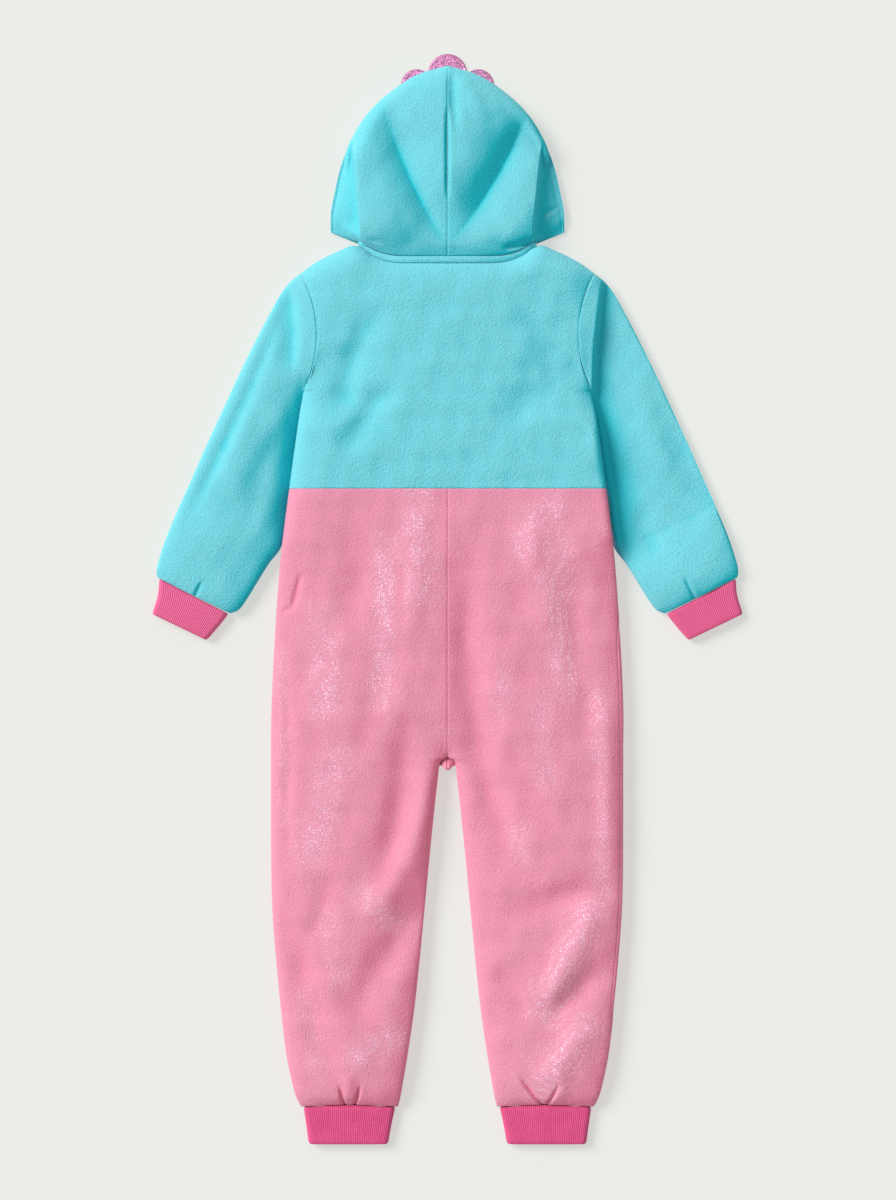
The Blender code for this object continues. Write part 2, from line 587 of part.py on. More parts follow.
def cuff(name, sections, ribs, side, bow):
    """A ribbed tube: ribs on its outer points, over a plain inside with half as many points."""

    def build(piece):
        mirror = np.array([side, 1.0, 1.0]) * MM
        bows = [bow] + [0.0] * (len(sections) - 1)
        outer, inner = [], []
        for section, arch in zip(sections, bows):
            ring = cuff_ring(section, 2 * ribs, 0.0, arch)
            plain = cuff_ring(section, ribs, RIB_WALL + RIB_RISE, arch)
            outer.append([piece.verts.new(p * mirror) for p in ring])
            inner.append([piece.verts.new(p * mirror) for p in plain])
        for low, high in zip(outer, outer[1:]):
            for i in range(2 * ribs):
                n = (i + 1) % (2 * ribs)
                piece.faces.new((low[i], low[n], high[n], high[i]))
        for low, high in zip(inner, inner[1:]):
            for i in range(ribs):
                n = (i + 1) % ribs
                piece.faces.new((low[i], high[i], high[n], low[n]))
        for ring, plain in ((outer[0], inner[0]), (outer[-1], inner[-1])):
            for i in range(ribs):
                n, a, b, c = (i + 1) % ribs, 2 * i, 2 * i + 1, (2 * i + 2) % (2 * ribs)
                piece.faces.new((plain[i], ring[a], ring[b]))
                piece.faces.new((plain[i], ring[b], plain[n]))
                piece.faces.new((plain[n], ring[b], ring[c]))

    return add_piece(name, build, "rib_knit")


def neck_tape():
    """The tape sewn over the back neck seam, between the bodice and the hood."""
    seam = column(HOOD, "neck_y", HOOD_RIBS)[::-1]
    x = np.concatenate([-NECK_X[:0:-1], NECK_X])
    low, high = top_line(x), np.concatenate([seam[:0:-1], seam])
    outer = np.array(
        [
            np.stack([x, low + (high - low) * share, neck_height(x) + rise], -1)
            for share, rise in TAPE_LEVELS
        ]
    )
    grids = [outer, outer - np.array([0.0, 0.0, TAPE_WALL])]
    for grid in grids:
        trim(grid)
        trim(np.swapaxes(grid, 0, 1))
    return add_piece("neck_tape", lambda piece: sheet_faces(piece, grids, 1, False), "aqua_fleece")


def crest():
    """Three scallops of glitter cloth sewn on under the hood's crown."""
    outline = []
    for (x, y, radius), (start, stop) in zip(SCALLOPS, SCALLOP_ARCS):
        for degrees in np.linspace(start, stop, SCALLOP_POINTS):
            turn = math.radians(degrees)
            outline.append((x + radius * math.cos(turn), y + radius * math.sin(turn)))
    outline += [(-CREST_BASE_HALF, CREST_BASE_Y), (CREST_BASE_HALF, CREST_BASE_Y)]
    curve = bpy.data.curves.new("crest", "CURVE")
    curve.dimensions = "2D"
    curve.fill_mode = "BOTH"
    curve.extrude = CREST_THICK / 2 * MM
    spline = curve.splines.new("POLY")
    spline.points.add(len(outline) - 1)
    for point, (x, y) in zip(spline.points, outline):
        point.co = (x * MM, y * MM, 0.0, 1.0)
    spline.use_cyclic_u = True
    made = link_piece("crest", curve, "glitter")
    made.location.z = CREST_THICK / 2 * MM


def front_zip():
    """The closed zip: a strip between the two fronts, arched over the slider's place."""
    y = np.array([ZIP_LOW_Y, WAIST_Y, *ZIP_ARCH_Y, ZIP_TOP_Y])
    x = np.array([-ZIP_HALF, -ZIP_TOOTH_HALF, ZIP_TOOTH_HALF, ZIP_HALF])
    bevel = np.array([ZIP_BEVEL, 0.0, 0.0, ZIP_BEVEL])
    xx, yy = np.meshgrid(x, y)
    low = lift(0 * xx, yy) + ZIP_CLEAR + bevel
    high = low + ZIP_THICK - 2 * bevel
    grids = [np.stack([xx, yy, z], -1) for z in (low, high)]
    return add_piece("front_zip", lambda piece: sheet_faces(piece, grids, 1, False), "zip_tape")


def box(name, low, high):
    mesh = bpy.data.meshes.new(name)
    piece = bmesh.new()
    bmesh.ops.create_cube(piece, size=1.0)
    low, high = np.array(low) * MM, np.array(high) * MM
    bmesh.ops.scale(piece, vec=high - low, verts=piece.verts)
    bmesh.ops.translate(piece, vec=(low + high) / 2, verts=piece.verts)
    piece.to_mesh(mesh)
    piece.free()
    return mesh


def rod(name, radius, half, sides=12):
    """A round bar along X on the pull's axis."""
    mesh = bpy.data.meshes.new(name)
    piece = bmesh.new()
    bmesh.ops.create_cone(
        piece, cap_ends=True, segments=sides, radius1=radius * MM, radius2=radius * MM, depth=2 * half * MM
    )
    turn = np.array([[0, 0, 1], [0, 1, 0], [-1, 0, 0]], float)
    for vert in piece.verts:
        vert.co = turn @ np.array(vert.co) + np.array([0.0, SLIDER_Y, PIN_Z]) * MM
    piece.to_mesh(mesh)
    piece.free()
    return mesh


def helper(name, mesh):
    made = bpy.data.objects.new(name, mesh)
    made.hide_render = True
    made.display_type = "WIRE"
    bpy.data.collections["cutters"].objects.link(made)
    return made


def combine(target, other, operation):
    modifier = target.modifiers.new(other.name, "BOOLEAN")
    modifier.object = other
    modifier.operation = operation


def zip_slider():
    """Two plates joined past the zip's end, with a lug and a pin that carries the pull."""
    strip = float(lift(np.array(0.0), np.array(SLIDER_Y))) + ZIP_CLEAR
    tail, end, head = SLIDER_Y - SLIDER_TAIL, ZIP_TOP_Y + SEAM_GAP, ZIP_TOP_Y + SEAM_GAP + SLIDER_HEAD
    under, over = strip - SLIDER_SLOT, strip + ZIP_THICK + SLIDER_SLOT
    into = SLIDER_PLATE / 2  # how far the joined blocks run into each other
    plate = box("zip_slider", (-SLIDER_HALF, tail, under - SLIDER_PLATE), (SLIDER_HALF, head, under))
    made = link_piece("zip_slider", plate, "zip_metal")
    blocks = {
        "slider_inside": ((-SLIDER_HALF, tail, over), (SLIDER_HALF, head, over + SLIDER_PLATE)),
        "slider_bridge": ((-SLIDER_HALF, end, under - into), (SLIDER_HALF, head, over + into)),
        "slider_lug": (
            (-LUG_HALF, SLIDER_Y - LUG_HALF, PIN_Z - LUG_HALF),
            (LUG_HALF, SLIDER_Y + LUG_HALF, under - into),
        ),
    }
    for name, (low, high) in blocks.items():
        combine(made, helper(name, box(name, low, high)), "UNION")
    combine(made, helper("slider_pin", rod("slider_pin", PIN_RADIUS, PIN_HALF)), "UNION")


def zip_pull():
    """A flat tab with a fork at its end, whose two eyes turn on the slider's pin."""
    half, tip = TAB_THICK / 2, SLIDER_Y - TAB_LENGTH
    tab = box("zip_pull", (-TAB_HALF, -TAB_LENGTH, -half), (TAB_HALF, 0.0, half))
    made = link_piece("zip_pull", tab, "zip_metal")
    made.location = (0.0, SLIDER_Y * MM, PIN_Z * MM)
    combine(made, helper("pull_eye", rod("pull_eye", EYE_RADIUS, TAB_HALF, 16)), "UNION")
    through = 2 * EYE_RADIUS
    cuts = {
        "pull_slot": (FORK_HALF, SLIDER_Y - FORK_DEPTH, SLIDER_Y + FORK_DEPTH),
        "pull_window": (WINDOW_HALF, tip + WINDOW_FROM, SLIDER_Y - WINDOW_TO),
    }
    for name, (wide, low, high) in cuts.items():
        block = box(name, (-wide, low, PIN_Z - through), (wide, high, PIN_Z + through))
        combine(made, helper(name, block), "DIFFERENCE")
    combine(made, helper("pull_bore", rod("pull_bore", BORE_RADIUS, 2 * TAB_HALF, 16)), "DIFFERENCE")


def clear_scene():
    for thing in list(bpy.data.objects):
        bpy.data.objects.remove(thing)
    for name in ("onesie", "cutters"):
        collection = bpy.data.collections.new(name)
        bpy.context.scene.collection.children.link(collection)


def build():
    clear_scene()
    armhole = np.linspace(1.0, 2.0, ARMHOLE_ROWS + 1)[1:]
    bodice_rows = np.concatenate([SIDE_ROWS, armhole])
    round_sleeve = np.linspace(0, 2 * math.pi, 2 * ARMHOLE_ROWS + 1)[:-1]
    hood_columns = np.concatenate(
        [np.linspace(0, 1, HOOD_TOP_COLUMNS + 1), np.linspace(1, 2, HOOD_LOW_COLUMNS + 1)[1:]]
    )
    for side, name in ((1, "right"), (-1, "left")):
        cloth(f"hood_{name}", hood_fan(side), hood_columns, HOOD_RIBS, "aqua_fleece", side)
        seam = lambda u, v: (v < 0.1) & (np.abs(u - math.pi) > 0.01)
        cloth(f"sleeve_{name}", sleeve(side), round_sleeve, SLEEVE_ROWS, "aqua_fleece", side, True, seam)
        cloth(f"back_leg_{name}", back_leg(side), LEG_COLUMNS, LEG_ROWS, "pink_fleece", side)
        cloth(f"front_leg_{name}", front_leg(side), FRONT_LEG_COLUMNS, LEG_ROWS, "pink_fleece", side)
        front = front_bodice(side)
        seam = lambda u, v: (u == 0) & (v > 1)
        places = 1 - BODICE_COLUMNS[::-1]
        cloth(f"front_bodice_{name}", front, places, bodice_rows, "aqua_fleece", side, False, seam)
        cuff(f"wrist_cuff_{name}", WRIST_CUFF, WRIST_RIBS, side, 0.0)
        cuff(f"ankle_cuff_{name}", ANKLE_CUFF, ANKLE_RIBS, side, HEM_BOW)
    halves = [back_bodice(-1), back_bodice(1)]

    def whole_back(u, v):
        right = halves[1](np.abs(u), v)
        left = halves[0](np.abs(u), v) * np.array([-1.0, 1.0, 1.0])
        return np.where((u >= 0)[..., None], right, left)

    seam = lambda u, v: (np.abs(u) == 1) & (v > 1)
    whole = np.concatenate([-BODICE_COLUMNS[:0:-1], BODICE_COLUMNS])
    cloth("back_bodice", whole_back, whole, bodice_rows, "aqua_fleece", armhole=seam)
    neck_tape()
    crest()
    front_zip()
    zip_slider()
    zip_pull()


build()
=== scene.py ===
"""The looks of a child's hooded fleece onesie pajama, laid flat with its back up.

Lengths are in millimetres until a mesh is made, in metres. X runs across the garment, Y from
the ankles to the hood, Z up from the surface it lies on. Each piece of cloth is a thin shell
over the grid of a surface, worked out on the right side and mirrored for the left.
"""

import math
from collections import namedtuple

import bmesh
import bpy
import numpy as np
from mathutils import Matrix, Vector


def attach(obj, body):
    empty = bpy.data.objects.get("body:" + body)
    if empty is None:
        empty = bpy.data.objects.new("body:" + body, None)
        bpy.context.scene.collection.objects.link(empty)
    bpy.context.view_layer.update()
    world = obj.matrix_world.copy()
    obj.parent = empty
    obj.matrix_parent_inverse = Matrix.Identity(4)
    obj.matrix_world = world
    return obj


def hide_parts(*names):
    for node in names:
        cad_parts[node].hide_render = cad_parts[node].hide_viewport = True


MM = 0.001
BODY_NAME = "garment"
SIDES = ((1, "right"), (-1, "left"))

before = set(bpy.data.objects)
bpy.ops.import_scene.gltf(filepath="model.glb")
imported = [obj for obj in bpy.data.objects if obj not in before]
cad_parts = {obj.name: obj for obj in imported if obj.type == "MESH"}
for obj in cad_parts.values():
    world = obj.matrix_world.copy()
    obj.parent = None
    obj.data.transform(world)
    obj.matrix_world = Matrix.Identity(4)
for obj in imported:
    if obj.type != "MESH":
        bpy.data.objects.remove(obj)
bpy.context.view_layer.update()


def rows(kind, table):
    """The rows of a table, with named columns."""
    return [kind(*row) for row in table]


# ---------------- sizes

FLEECE = 1.8
RIB_WALL, RIB_RISE = 1.3, 0.45
TAPE_WALL = 1.0
SEAM_GAP = 0.3
TOUCH = 0.08  # the gap left between two pieces that are sewn together
ROLL = 14.0
PUFF = 0.66
SEAM_DEPTH, SEAM_WIDTH = 0.75, 2.4  # a piece's edge dips this much, over this width, at its seam
SEAM_STEPS = np.array([0.0, 0.35, 0.8, 1.4, 2.1, 3.0])  # grid places from a seam inwards

WAIST_Y, UNDERARM_Y = 121.0, 228.0
CROTCH_Y, CROTCH_BLEND, TRUNK_BLEND = -173.5, 70.0, 120.0
CROTCH_DROP, CROTCH_RISE, CROTCH_SPREAD = 14.0, 17.0, 8.5  # the front shows below the back's arch
CROTCH_FINE = (-192.0, -158.0, 0.9)  # rows of the front's grid near the crotch: from, to and step
CROTCH_SETTLE, CROTCH_NEAR = 60.0, 10.0  # the legs' inner edges start to shape the top over these
HEM_Y, ANKLE_END_Y, NECK_Y = -559.5, -600.0, 368.2
SIDE_SEAM_TOP, SIDE_SEAM_LOW, SIDE_SEAM_EASE, SIDE_SEAM_INBOARD = 0.0, -490.0, 60.0, 4.5

ZIP_HALF, ZIP_LOW_Y, ZIP_TOP_Y, ZIP_EASE = 4.0, -60.0, 352.0, 6.0
ZIP_STEP, ZIP_COLUMNS = 4.0, 9
ZIP_TAPE_FROM, ZIP_TAPE_THICK = 0.75, 0.6  # the tape's height over the cloth's underside, its wall
TOOTH_PITCH, TOOTH_SIZE, TOOTH_BEVEL = 2.2, (2.0, 1.0, 1.3), 0.25
TOOTH_SIDE, TOOTH_FROM, TOOTH_INSET = 0.75, 0.35, 2.0  # off the middle, height, from the zip's ends
METAL_BEVEL = 0.25
CHIN_LIFT, CHIN_Y, CHIN_SPREAD_X, CHIN_SPREAD_Y = 6.0, 348.0, 26.0, 38.0

CREST_THICK, CREST_TOP_Y, CREST_BASE_Y, CREST_BASE_HALF = 2.2, 600.0, 552.0, 46.0
CREST_LIFT = CREST_THICK + 0.4
CREST_BED_Y, CREST_BED_HALF, CREST_BED_SLOPE = 524.0, 78.0, 10.0
SCALLOPS = ((34, 567.8, 17), (0, CREST_TOP_Y - 19.8, 21.4), (-34, 567.8, 17))
SCALLOP_ARCS = ((-16, 136), (-2, 182), (44, 196))
CREST_RINGS = (0.0, 0.25, 0.5, 0.7, 0.82, 0.87, 0.9, 0.93, 0.97, 0.99, 1.0)  # shares, centre to edge
CREST_REACH, CREST_EDGE = 30.0, 1.2  # from the centre to the edge, and how far in the edge rounds
CREST_CENTRE_Y, SCALLOP_POINTS, MERGE = CREST_BASE_Y + 1.0, 40, 0.02
CREST_LINE, CREST_LINE_WIDTH, CREST_LINE_DEPTH = 0.9, 0.02, 0.45  # its sewn line

Section = namedtuple("Section", "y inner outer top middle")
BODY = rows(Section, (  # right half of the trunk and the right leg, from the hem up
    (HEM_Y, 54.5, 160.5, 14, 6.5),
    (-556, 53.5, 163, 17, 7.5),
    (-547, 51.5, 167, 21.5, 9.5),
    (-530, 48.5, 171.5, 25, 10.5),
    (-500, 43.5, 177.5, 26.5, 11),
    (-452, 36.5, 183.2, 27, 11),
    (-400, 30.8, 188.3, 27, 11),
    (-350, 26, 192.3, 27, 11),
    (-290, 20.2, 194, 27, 11),
    (-225, 13.6, 194.2, 27, 11.5),
    (-195, 10.2, 194.2, 27, 11.5),
    (-184, 8.9, 194.2, 27.2, 11.5),
    (-177, 6, 194.2, 27.3, 11.5),
    (CROTCH_Y, 0, 194.2, 27.4, 11.5),
    (-120, 0, 193.6, 28, 12),
    (-45, 0, 190.2, 28.5, 12.5),
    (40, 0, 184, 29.5, 13),
    (WAIST_Y, 0, 174, 30, 14),
    (176, 0, 166.5, 31, 14),
    (206, 0, 162.3, 31, 14),
    (UNDERARM_Y, 0, 158.2, 31, 14),
))

Sleeve = namedtuple("Sleeve", "row out_x out_y in_x in_y top out_mid in_mid in_puff bulge")
SLEEVE = rows(Sleeve, (  # from the armhole to the wrist: the outer and inner folded edges
    (0, 161.5, 358, 158.2, 228, 26, 12, 14, 1.1, 16.3),
    (0.1, 163.3, 356.7, 158.3, 227, 25.8, 11.7, 13.6, 1.1, 15.4),
    (0.6, 172, 350, 159.2, 221, 24.7, 10, 11.5, 1.1, 11),
    (1, 180.5, 340, 160.6, 212, 23.7, 9.5, 8.5, 1.3, 7),
    (2, 195, 315, 162.9, 192, 22.5, 9, 5, 1.5, 2),
    (3, 210, 286.5, 166, 168, 22, 9, 4.5, 2, 0),
    (4, 228.5, 249, 169.8, 140, 22, 9, 4.5, 2, 0),
    (5, 247.5, 208, 173.6, 112, 22, 9, 4.5, 2, 0),
    (6, 266, 167.5, 177.4, 84, 22, 9, 4.8, 1.5, 0),
    (7, 283, 129, 183.2, 57.5, 21.5, 9, 6, 0.95, 0),
    (8, 298, 95.5, 196.5, 39, 21, 9, 8, 0.8, 0),
    (9, 310, 66.5, 209, 19, 20, 9, 8.5, 0.75, 0),
    (10, 318, 42, 221, -0.5, 18.5, 8.5, 8.5, 0.75, 0),
    (11, 320.5, 30, 230, -12, 16, 7.5, 7.5, 0.75, 0),
    (12, 319.3, 23.2, 240.2, -16, 13, 6.2, 6.2, 0.75, 0),
))
# The right sleeve is tucked down along this line, as y and x, and lies lower outside it
TUCK_LINE = (
    (30, 192), (83, 181.3), (121, 175.8), (157, 169), (195, 163.4), (220, 157.6), (261, 158),
    (302, 162), (337, 166.2), (358, 170),
)
TUCK_DROP, TUCK_WIDTH, TUCK_KEEN, TUCK_END_ROW, TUCK_FADE = 18.0, 7.0, 1.8, 10.0, 4.0
TUCK_LEAST = 1.5  # the least height of the sleeve's top over its middle
TUCK_SHADE = ((45, 22), (131, 32), (219, 23), (337, 16))  # how far the trunk's painted shadow reaches over the sleeve, by y
TUCK_SHADE_LOW_Y, TUCK_SHADE_FADE = 25.0, 45.0
SLEEVE_CLEAR, HOOD_CLEAR = 5.5, 7.0  # the lowest that a fold takes the top of a sleeve, and of the hood
HOOD_FLAP_RIBS = 4.0  # up to about this rib the hood's folds run out to its outline
HOOD_EASED = 5.0  # how softly a fold of the hood levels out near its lowest
SIDE_ROLL, SIDE_LIFT = {1: 9.0, -1: 40.0}, {1: 8.0, -1: 0.0}  # the trunk is fuller by the sleeves
SIDE_LOW_Y, SIDE_LOW_BLEND, SIDE_HIGH_BLEND = 10.0, 60.0, 45.0
FOLD_FULL = 0.75  # a fold has its whole depth from this share of a dome's rise upwards
SLEEVE_FOLD_FULL, SLEEVE_FOLD_ROW = 0.3, 0.4  # the same round a sleeve, and from the armhole along it
CHEST_CLIMB, ARMHOLE_KEEN = 0.45, 16  # how soon and how keenly the back takes the armhole's form
ROLL_KEEN = (6, 60)  # how keenly the shoulder's roll ends by the sleeve: low down, and added on top
HOOD_DOME = (2.6, 0.34)  # how full the hood's dome is
# Shares of the way out over the hood: its climb from the neck, its folds' fade by the neck and by
# the outline, and where they start to level out
HOOD_CLIMB, HOOD_FOLD_NECK, HOOD_FOLD_RIM, HOOD_LEVEL = 0.45, 0.1, 0.12, 0.15

Hood = namedtuple("Hood", "k neck_x neck_y out_x out_y face_x face_y top middle")
HOOD = rows(Hood, (  # ribs of a fan, from the side of the neck (0) round to the centre seam (8)
    (0, 93, 391.5, 129, 404.4, 5, 354.3, 5.4, 2.8),
    (1, 84, 385.4, 128.6, 424, 25, 374, 25, 7),
    (2, 72, 379.9, 124, 449, 41, 402, 33, 7),
    (3, 59, 377, 117.3, 477, 51, 434, 38, 7),
    (4, 46, 376.2, 106.5, 504, 54, 466, 41, 10.5),
    (5, 33, 376, 89.5, 531, 50, 497, 43, 14),
    (6, 21, 376, 66.5, 554, 40, 524, 44, 14),
    (7, 10, 376, 35, 575, 22, 541, 44, 14),
    (8, 0, 376, 0, 586, 0, 547, 44, 14),
))
SHOULDER = ((0, NECK_Y), (46, 368.4), (59, 369.4), (72, 372.6), (84, 378.4), (93, 384.9))
SHOULDER_END = ((104, 388.6), (116, 384.3), (134, 376), (149, 367.6), (161.5, 358))
NECK_CORNER = SHOULDER_END[0]
NECK_TOP, SHOULDER_MID = 23.0, 12.0
NECK_FLAT_X, SHOULDER_X, SHOULDER_ROLL, SHOULDER_LOW_X = 25.0, 120.0, 28.0, 80.0
TAPE_HALF, TAPE_ENDS, TAPE_RISE, TAPE_TUCK = 98.0, (-0.1, 1.1), 0.9, 1.8
TACK_U, TACK_V = 0.136, (1.985, 1.74)  # a short row of stitches down from the tape
TAPE_COLUMNS, TAPE_ROWS, TAPE_TUCK_FROM, TAPE_TUCK_OVER = 157, 21, 0.42, 0.18
TAPE_LINE, TAPE_LINE_WIDTH, TAPE_LINE_DEPTH, TAPE_LINE_HALF = 0.2, 0.06, 0.5, 90.0  # its sewn line
STITCH_LENGTH, STITCH_PITCH, STITCH_THICK, STITCH_RISE = 2.3, 3.1, 0.45, 0.25
STITCH_POINTS, STITCH_TAPER = 6, 0.25
FACE_HEM = 11.0  # the hood's hem is stitched this far in from the face opening
FACE_HEM_RISE, FACE_HEM_WIDTH = 0.8, 1.3

Cuff = namedtuple("Cuff", "along out_x out_y in_x in_y thick")
WRIST_CUFF = rows(Cuff, (
    (0, 317.8, 22.4, 241.4, -16.6, 11.5),
    (0.5, 319.4, 4, 252, -30, 11),
    (1, 325.6, -16.3, 265.3, -45.3, 10.5),
))
ANKLE_CUFF = rows(Cuff, (
    (0, 158.6, HEM_Y - SEAM_GAP, 57.4, HEM_Y - SEAM_GAP, 12.5),
    (0.5, 155.6, -580, 61.8, -580, 12),
    (1, 153, ANKLE_END_Y, 65.4, ANKLE_END_Y, 11.5),
))
WRIST_RIBS, ANKLE_RIBS, RIB_POINTS, CUFF_ROWS = 76, 96, 6, 17
CUFF_CROWN, HEM_BOW, CUFF_EDGE = 1.2, 3.0, 1.6
WRIST_TONE = {"right": 0.55, "left": 0.85}  # how much paler than the ankle cuffs

# A trough runs from one point to another, bowed sideways. Negative depths are ridges. fade is the
# share of the length over which each end fades out. Where other isn't 0, the trough's side of that
# sign has that width. A low power gives a sharp bottom.
Fold = namedtuple("Fold", "x0 y0 x1 y1 bow depth width fade other power", defaults=(0.3, 0.0, 2.0))
HOOD_FOLDS = rows(Fold, (
    (-74, 550, 3, 380, 7, 16, 30, 0.4, 20, 1.25),
    (94, 552, -3, 382, -10, 19, 46, 0.38, 24, 1.2),
    (0, 545, 0, 430, 0, 3.5, 2.4),
    (6, 590, 12, 500, 3, 3, 6),
    (12, 586, 48, 520, 4, -2, 9),
    (103, 422, 130, 435, 0, 2, 2.4),
    (99, 396, 58, 384, -2, 3.4, 3.4),
    (-91, 396, -68, 388, 0, 1.5, 2.6, 0.5),
    (-46, 566, -90, 396, 30, -2.6, 14),
))
LEG_FOLDS = rows(Fold, (
    (-44, -120, -72, -322, -7, 6.4, 18),
    (-16, -172, -100, -366, -19, -5.6, 16),
    (-8, -304, -116, -474, 3, 6.4, 19, 0.45),
    (-62, -486, -142, -426, 10, 3.4, 15, 0.45),
    (-182, -320, -116, -548, 3, 4.6, 16, 0.4),
    (27, 90, 86, -330, 27, 6.4, 18),
    (50, -352, 186, -306, 2, 5.2, 17, 0.45),
    (172, -326, 104, -458, 3, -5.6, 16),
    (190, -392, 92, -492, 7, 6.4, 16, 0.4),
    (160, -464, 96, -536, 0, -4.2, 14),
    (-119, -530, -109, -580, 0, 4.6, 1.9),
    (-95, -530, -107, -580, 0, 4.4, 1.9),
    (-108, -516, -108, -556, 0, -2, 7),
    (76, -520, 116, -580, -2, 4.6, 2.1),
    (124, -528, 98, -582, 0, 4.2, 1.9),
    (122, -510, 126, -552, 0, -2, 9),
    (-160, 32, -172, -16, 0, 2.3, 4, 0.3, 2.6),
    (-170, -8, -184, -17, 0, 1.6, 2.8),
    (-100, 100, -112, -40, -6, 2.8, 17),
    (-36, 116, -42, -84, -4, -2.8, 16),
    (92, 116, 120, -70, 6, -2.8, 16),
    (136, 70, 160, -170, 4, 2.8, 15),
    (-174, -60, -176, -320, 0, 1.5, 6),
    (174, -90, 181, -330, 0, -3, 13),
    (-128, -290, -152, -380, -4, 3.1, 12),
    (56, -390, 98, -470, 4, 3.1, 16),
    (-66, -40, -104, -200, -6, 2.5, 16),
    (62, -150, 120, -262, 6, 2.5, 16),
))
BODICE_FOLDS = rows(Fold, (
    (140, 250, 60, 178, 10, 2.4, 16),
    (-120, 245, -55, 175, 8, 2, 15),
    (-70, 330, -128, 190, 6, 4.2, 15),
    (-56, 242, -120, 146, 4, 3.4, 13),
    (80, 330, 132, 256, 5, 2.2, 15),
))
SLEEVE_FOLDS = rows(Fold, (
    (-178, 350, -174, 240, -4, 5.5, 14, 0.3, -8),
    (-176, 330, -298, 66, -5, 2.8, 7.5),
    (-200, 262, -246, 96, 5, -2, 16),
    (-178, 200, -226, 64, 3, 2.4, 14),
    (205, 262, 250, 120, 6, -2, 16),
    (250, 190, 290, 90, 4, 1.8, 13),
    (210, 110, 232, 36, 3, 2, 12),
    (259, 26, 278, -10, 0, 2.2, 2),
    (-268, 22, -284, -10, 0, 2, 2),
))
FRONT_FOLDS = rows(Fold, (
    (150, 190, 60, 120, 6, 1.6, 12),
    (-146, 170, -50, 96, 6, 1.5, 12),
    (30, -120, 96, -280, 8, 1.7, 12),
    (-34, -130, -110, -300, 8, 1.6, 13),
    (150, -330, 70, -420, 4, 1.5, 11),
    (-60, -380, -140, -470, 4, 1.6, 11),
    (100, -500, 106, -566, 0, 1.8, 4.5),
    (-112, -510, -106, -566, 0, 1.8, 4.5),
    (110, 60, 140, -90, 6, 1.2, 14),
    (-96, 40, -150, -110, 6, 1.2, 14),
))
FOLDS = {
    "hood": HOOD_FOLDS, "leg": LEG_FOLDS, "bodice": BODICE_FOLDS, "sleeve": SLEEVE_FOLDS,
    "front": FRONT_FOLDS,
}

# A step lowers all that lies to the left of the way that it runs, steeply at first. shade is how
# strongly shade is painted under it.
Step = namedtuple("Step", "x0 y0 x1 y1 bow drop width shade fade", defaults=(0.25,))
STEPS = {"hood": rows(Step, (
    (-94.5, 384, -107, 520, 1, 14, 1.5, 0.55),
    (106, 520, 91, 378, 1, 14, 5, 1),
))}

# Painted highlights where the foil print is drawn catching the light: along ridges, from one point to
# another
Streak = namedtuple("Streak", "x0 y0 x1 y1 width strength")
STREAKS = rows(Streak, (
    (-34, 112, -30, 6, 15, 0.8),
    (-66, 60, -74, -110, 11, 0.9),
    (-136, -24, -134, -122, 14, 0.8),
    (-118, -176, -150, -276, 15, 0.7),
    (-182, -60, -180, -240, 6, 0.4),
    (-96, -322, -62, -354, 11, 0.8),
    (-130, -350, -118, -420, 12, 0.4),
    (-96, -500, -58, -482, 11, 0.8),
    (-160, -430, -140, -520, 9, 0.4),
    (84, 90, 84, 50, 12, 0.8),
    (116, 96, 122, 6, 17, 0.7),
    (112, 20, 132, -94, 12, 0.9),
    (104, -108, 108, -196, 10, 0.6),
    (62, -84, 60, -122, 10, 0.5),
    (164, -100, 171, -320, 9, 0.6),
    (156, -346, 108, -452, 16, 1),
    (152, -474, 108, -530, 16, 0.9),
    (78, -256, 82, -282, 12, 0.4),
))

# Grid steps, in millimetres
BACK_STEP, HOOD_STEP, SLEEVE_STEP, FRONT_STEP, UNDER_STEP = 1.55, 1.4, 1.8, 4.0, 3.0
HOLLOW_REACH, HOLLOW_DEPTH = 4, 2.4  # a crease's depth is read over this many grid steps, and the painted shade in it is full at this depth
# Painted shade on slopes turned from the light: the way away from it, and the lean at which the shade
# starts and over which it grows full
AWAY_FROM_LIGHT, TURNED_SHADE_FROM, TURNED_SHADE_OVER = (0.84, -0.54, 0.0), 0.04, 0.36
# Shade is painted along the bottom of a deep fold, mostly on its shaded side, and under a step
DEEP_FOLD, SHADED_SHARE, LIT_CORE, STEP_SHADE = 12.0, 0.9, 4.0, 22.0
STREAK_SPREAD = 1.25
RIPPLE, RIPPLE_WAVES = 0.28, (24.0, 41.0, 67.0)  # slight unevenness of the cloth's lie
SHARP_ANGLE = 50.0
# Where the lines are that the grids' steps are measured along
LEG_LINE_Y, BODICE_LINE, SLEEVE_LINE, HOOD_LINES, HALF_WAY = -60.0, 0.9, 4.0, (5.0, 0.7), 0.5
SLEEVE_START, FRONT_ROWS = 0.004, (29, 41)  # the sleeve's first row, and rows up the front bodice


# ---------------- curves

def smooth(xs, ys, x):
    """A monotone cubic through the points, held at its end values past them."""
    xs, ys = np.asarray(xs, float), np.asarray(ys, float)
    x = np.clip(x, xs[0], xs[-1])
    step, rise = np.diff(xs), np.diff(ys) / np.diff(xs)
    slope = np.concatenate([rise[:1], (rise[1:] + rise[:-1]) / 2, rise[-1:]])
    slope[1:-1][rise[1:] * rise[:-1] <= 0] = 0.0
    steepest = 3 * np.minimum(np.abs(np.append(rise, rise[-1])), np.abs(np.append(rise[0], rise)))
    slope = np.clip(slope, -steepest, steepest)
    i = np.clip(np.searchsorted(xs, x, side="right") - 1, 0, len(step) - 1)
    t = (x - xs[i]) / step[i]
    return (
        ys[i] * (1 + 2 * t) * (1 - t) ** 2
        + ys[i + 1] * t * t * (3 - 2 * t)
        + step[i] * t * (1 - t) * (slope[i] * (1 - t) - slope[i + 1] * t)
    )


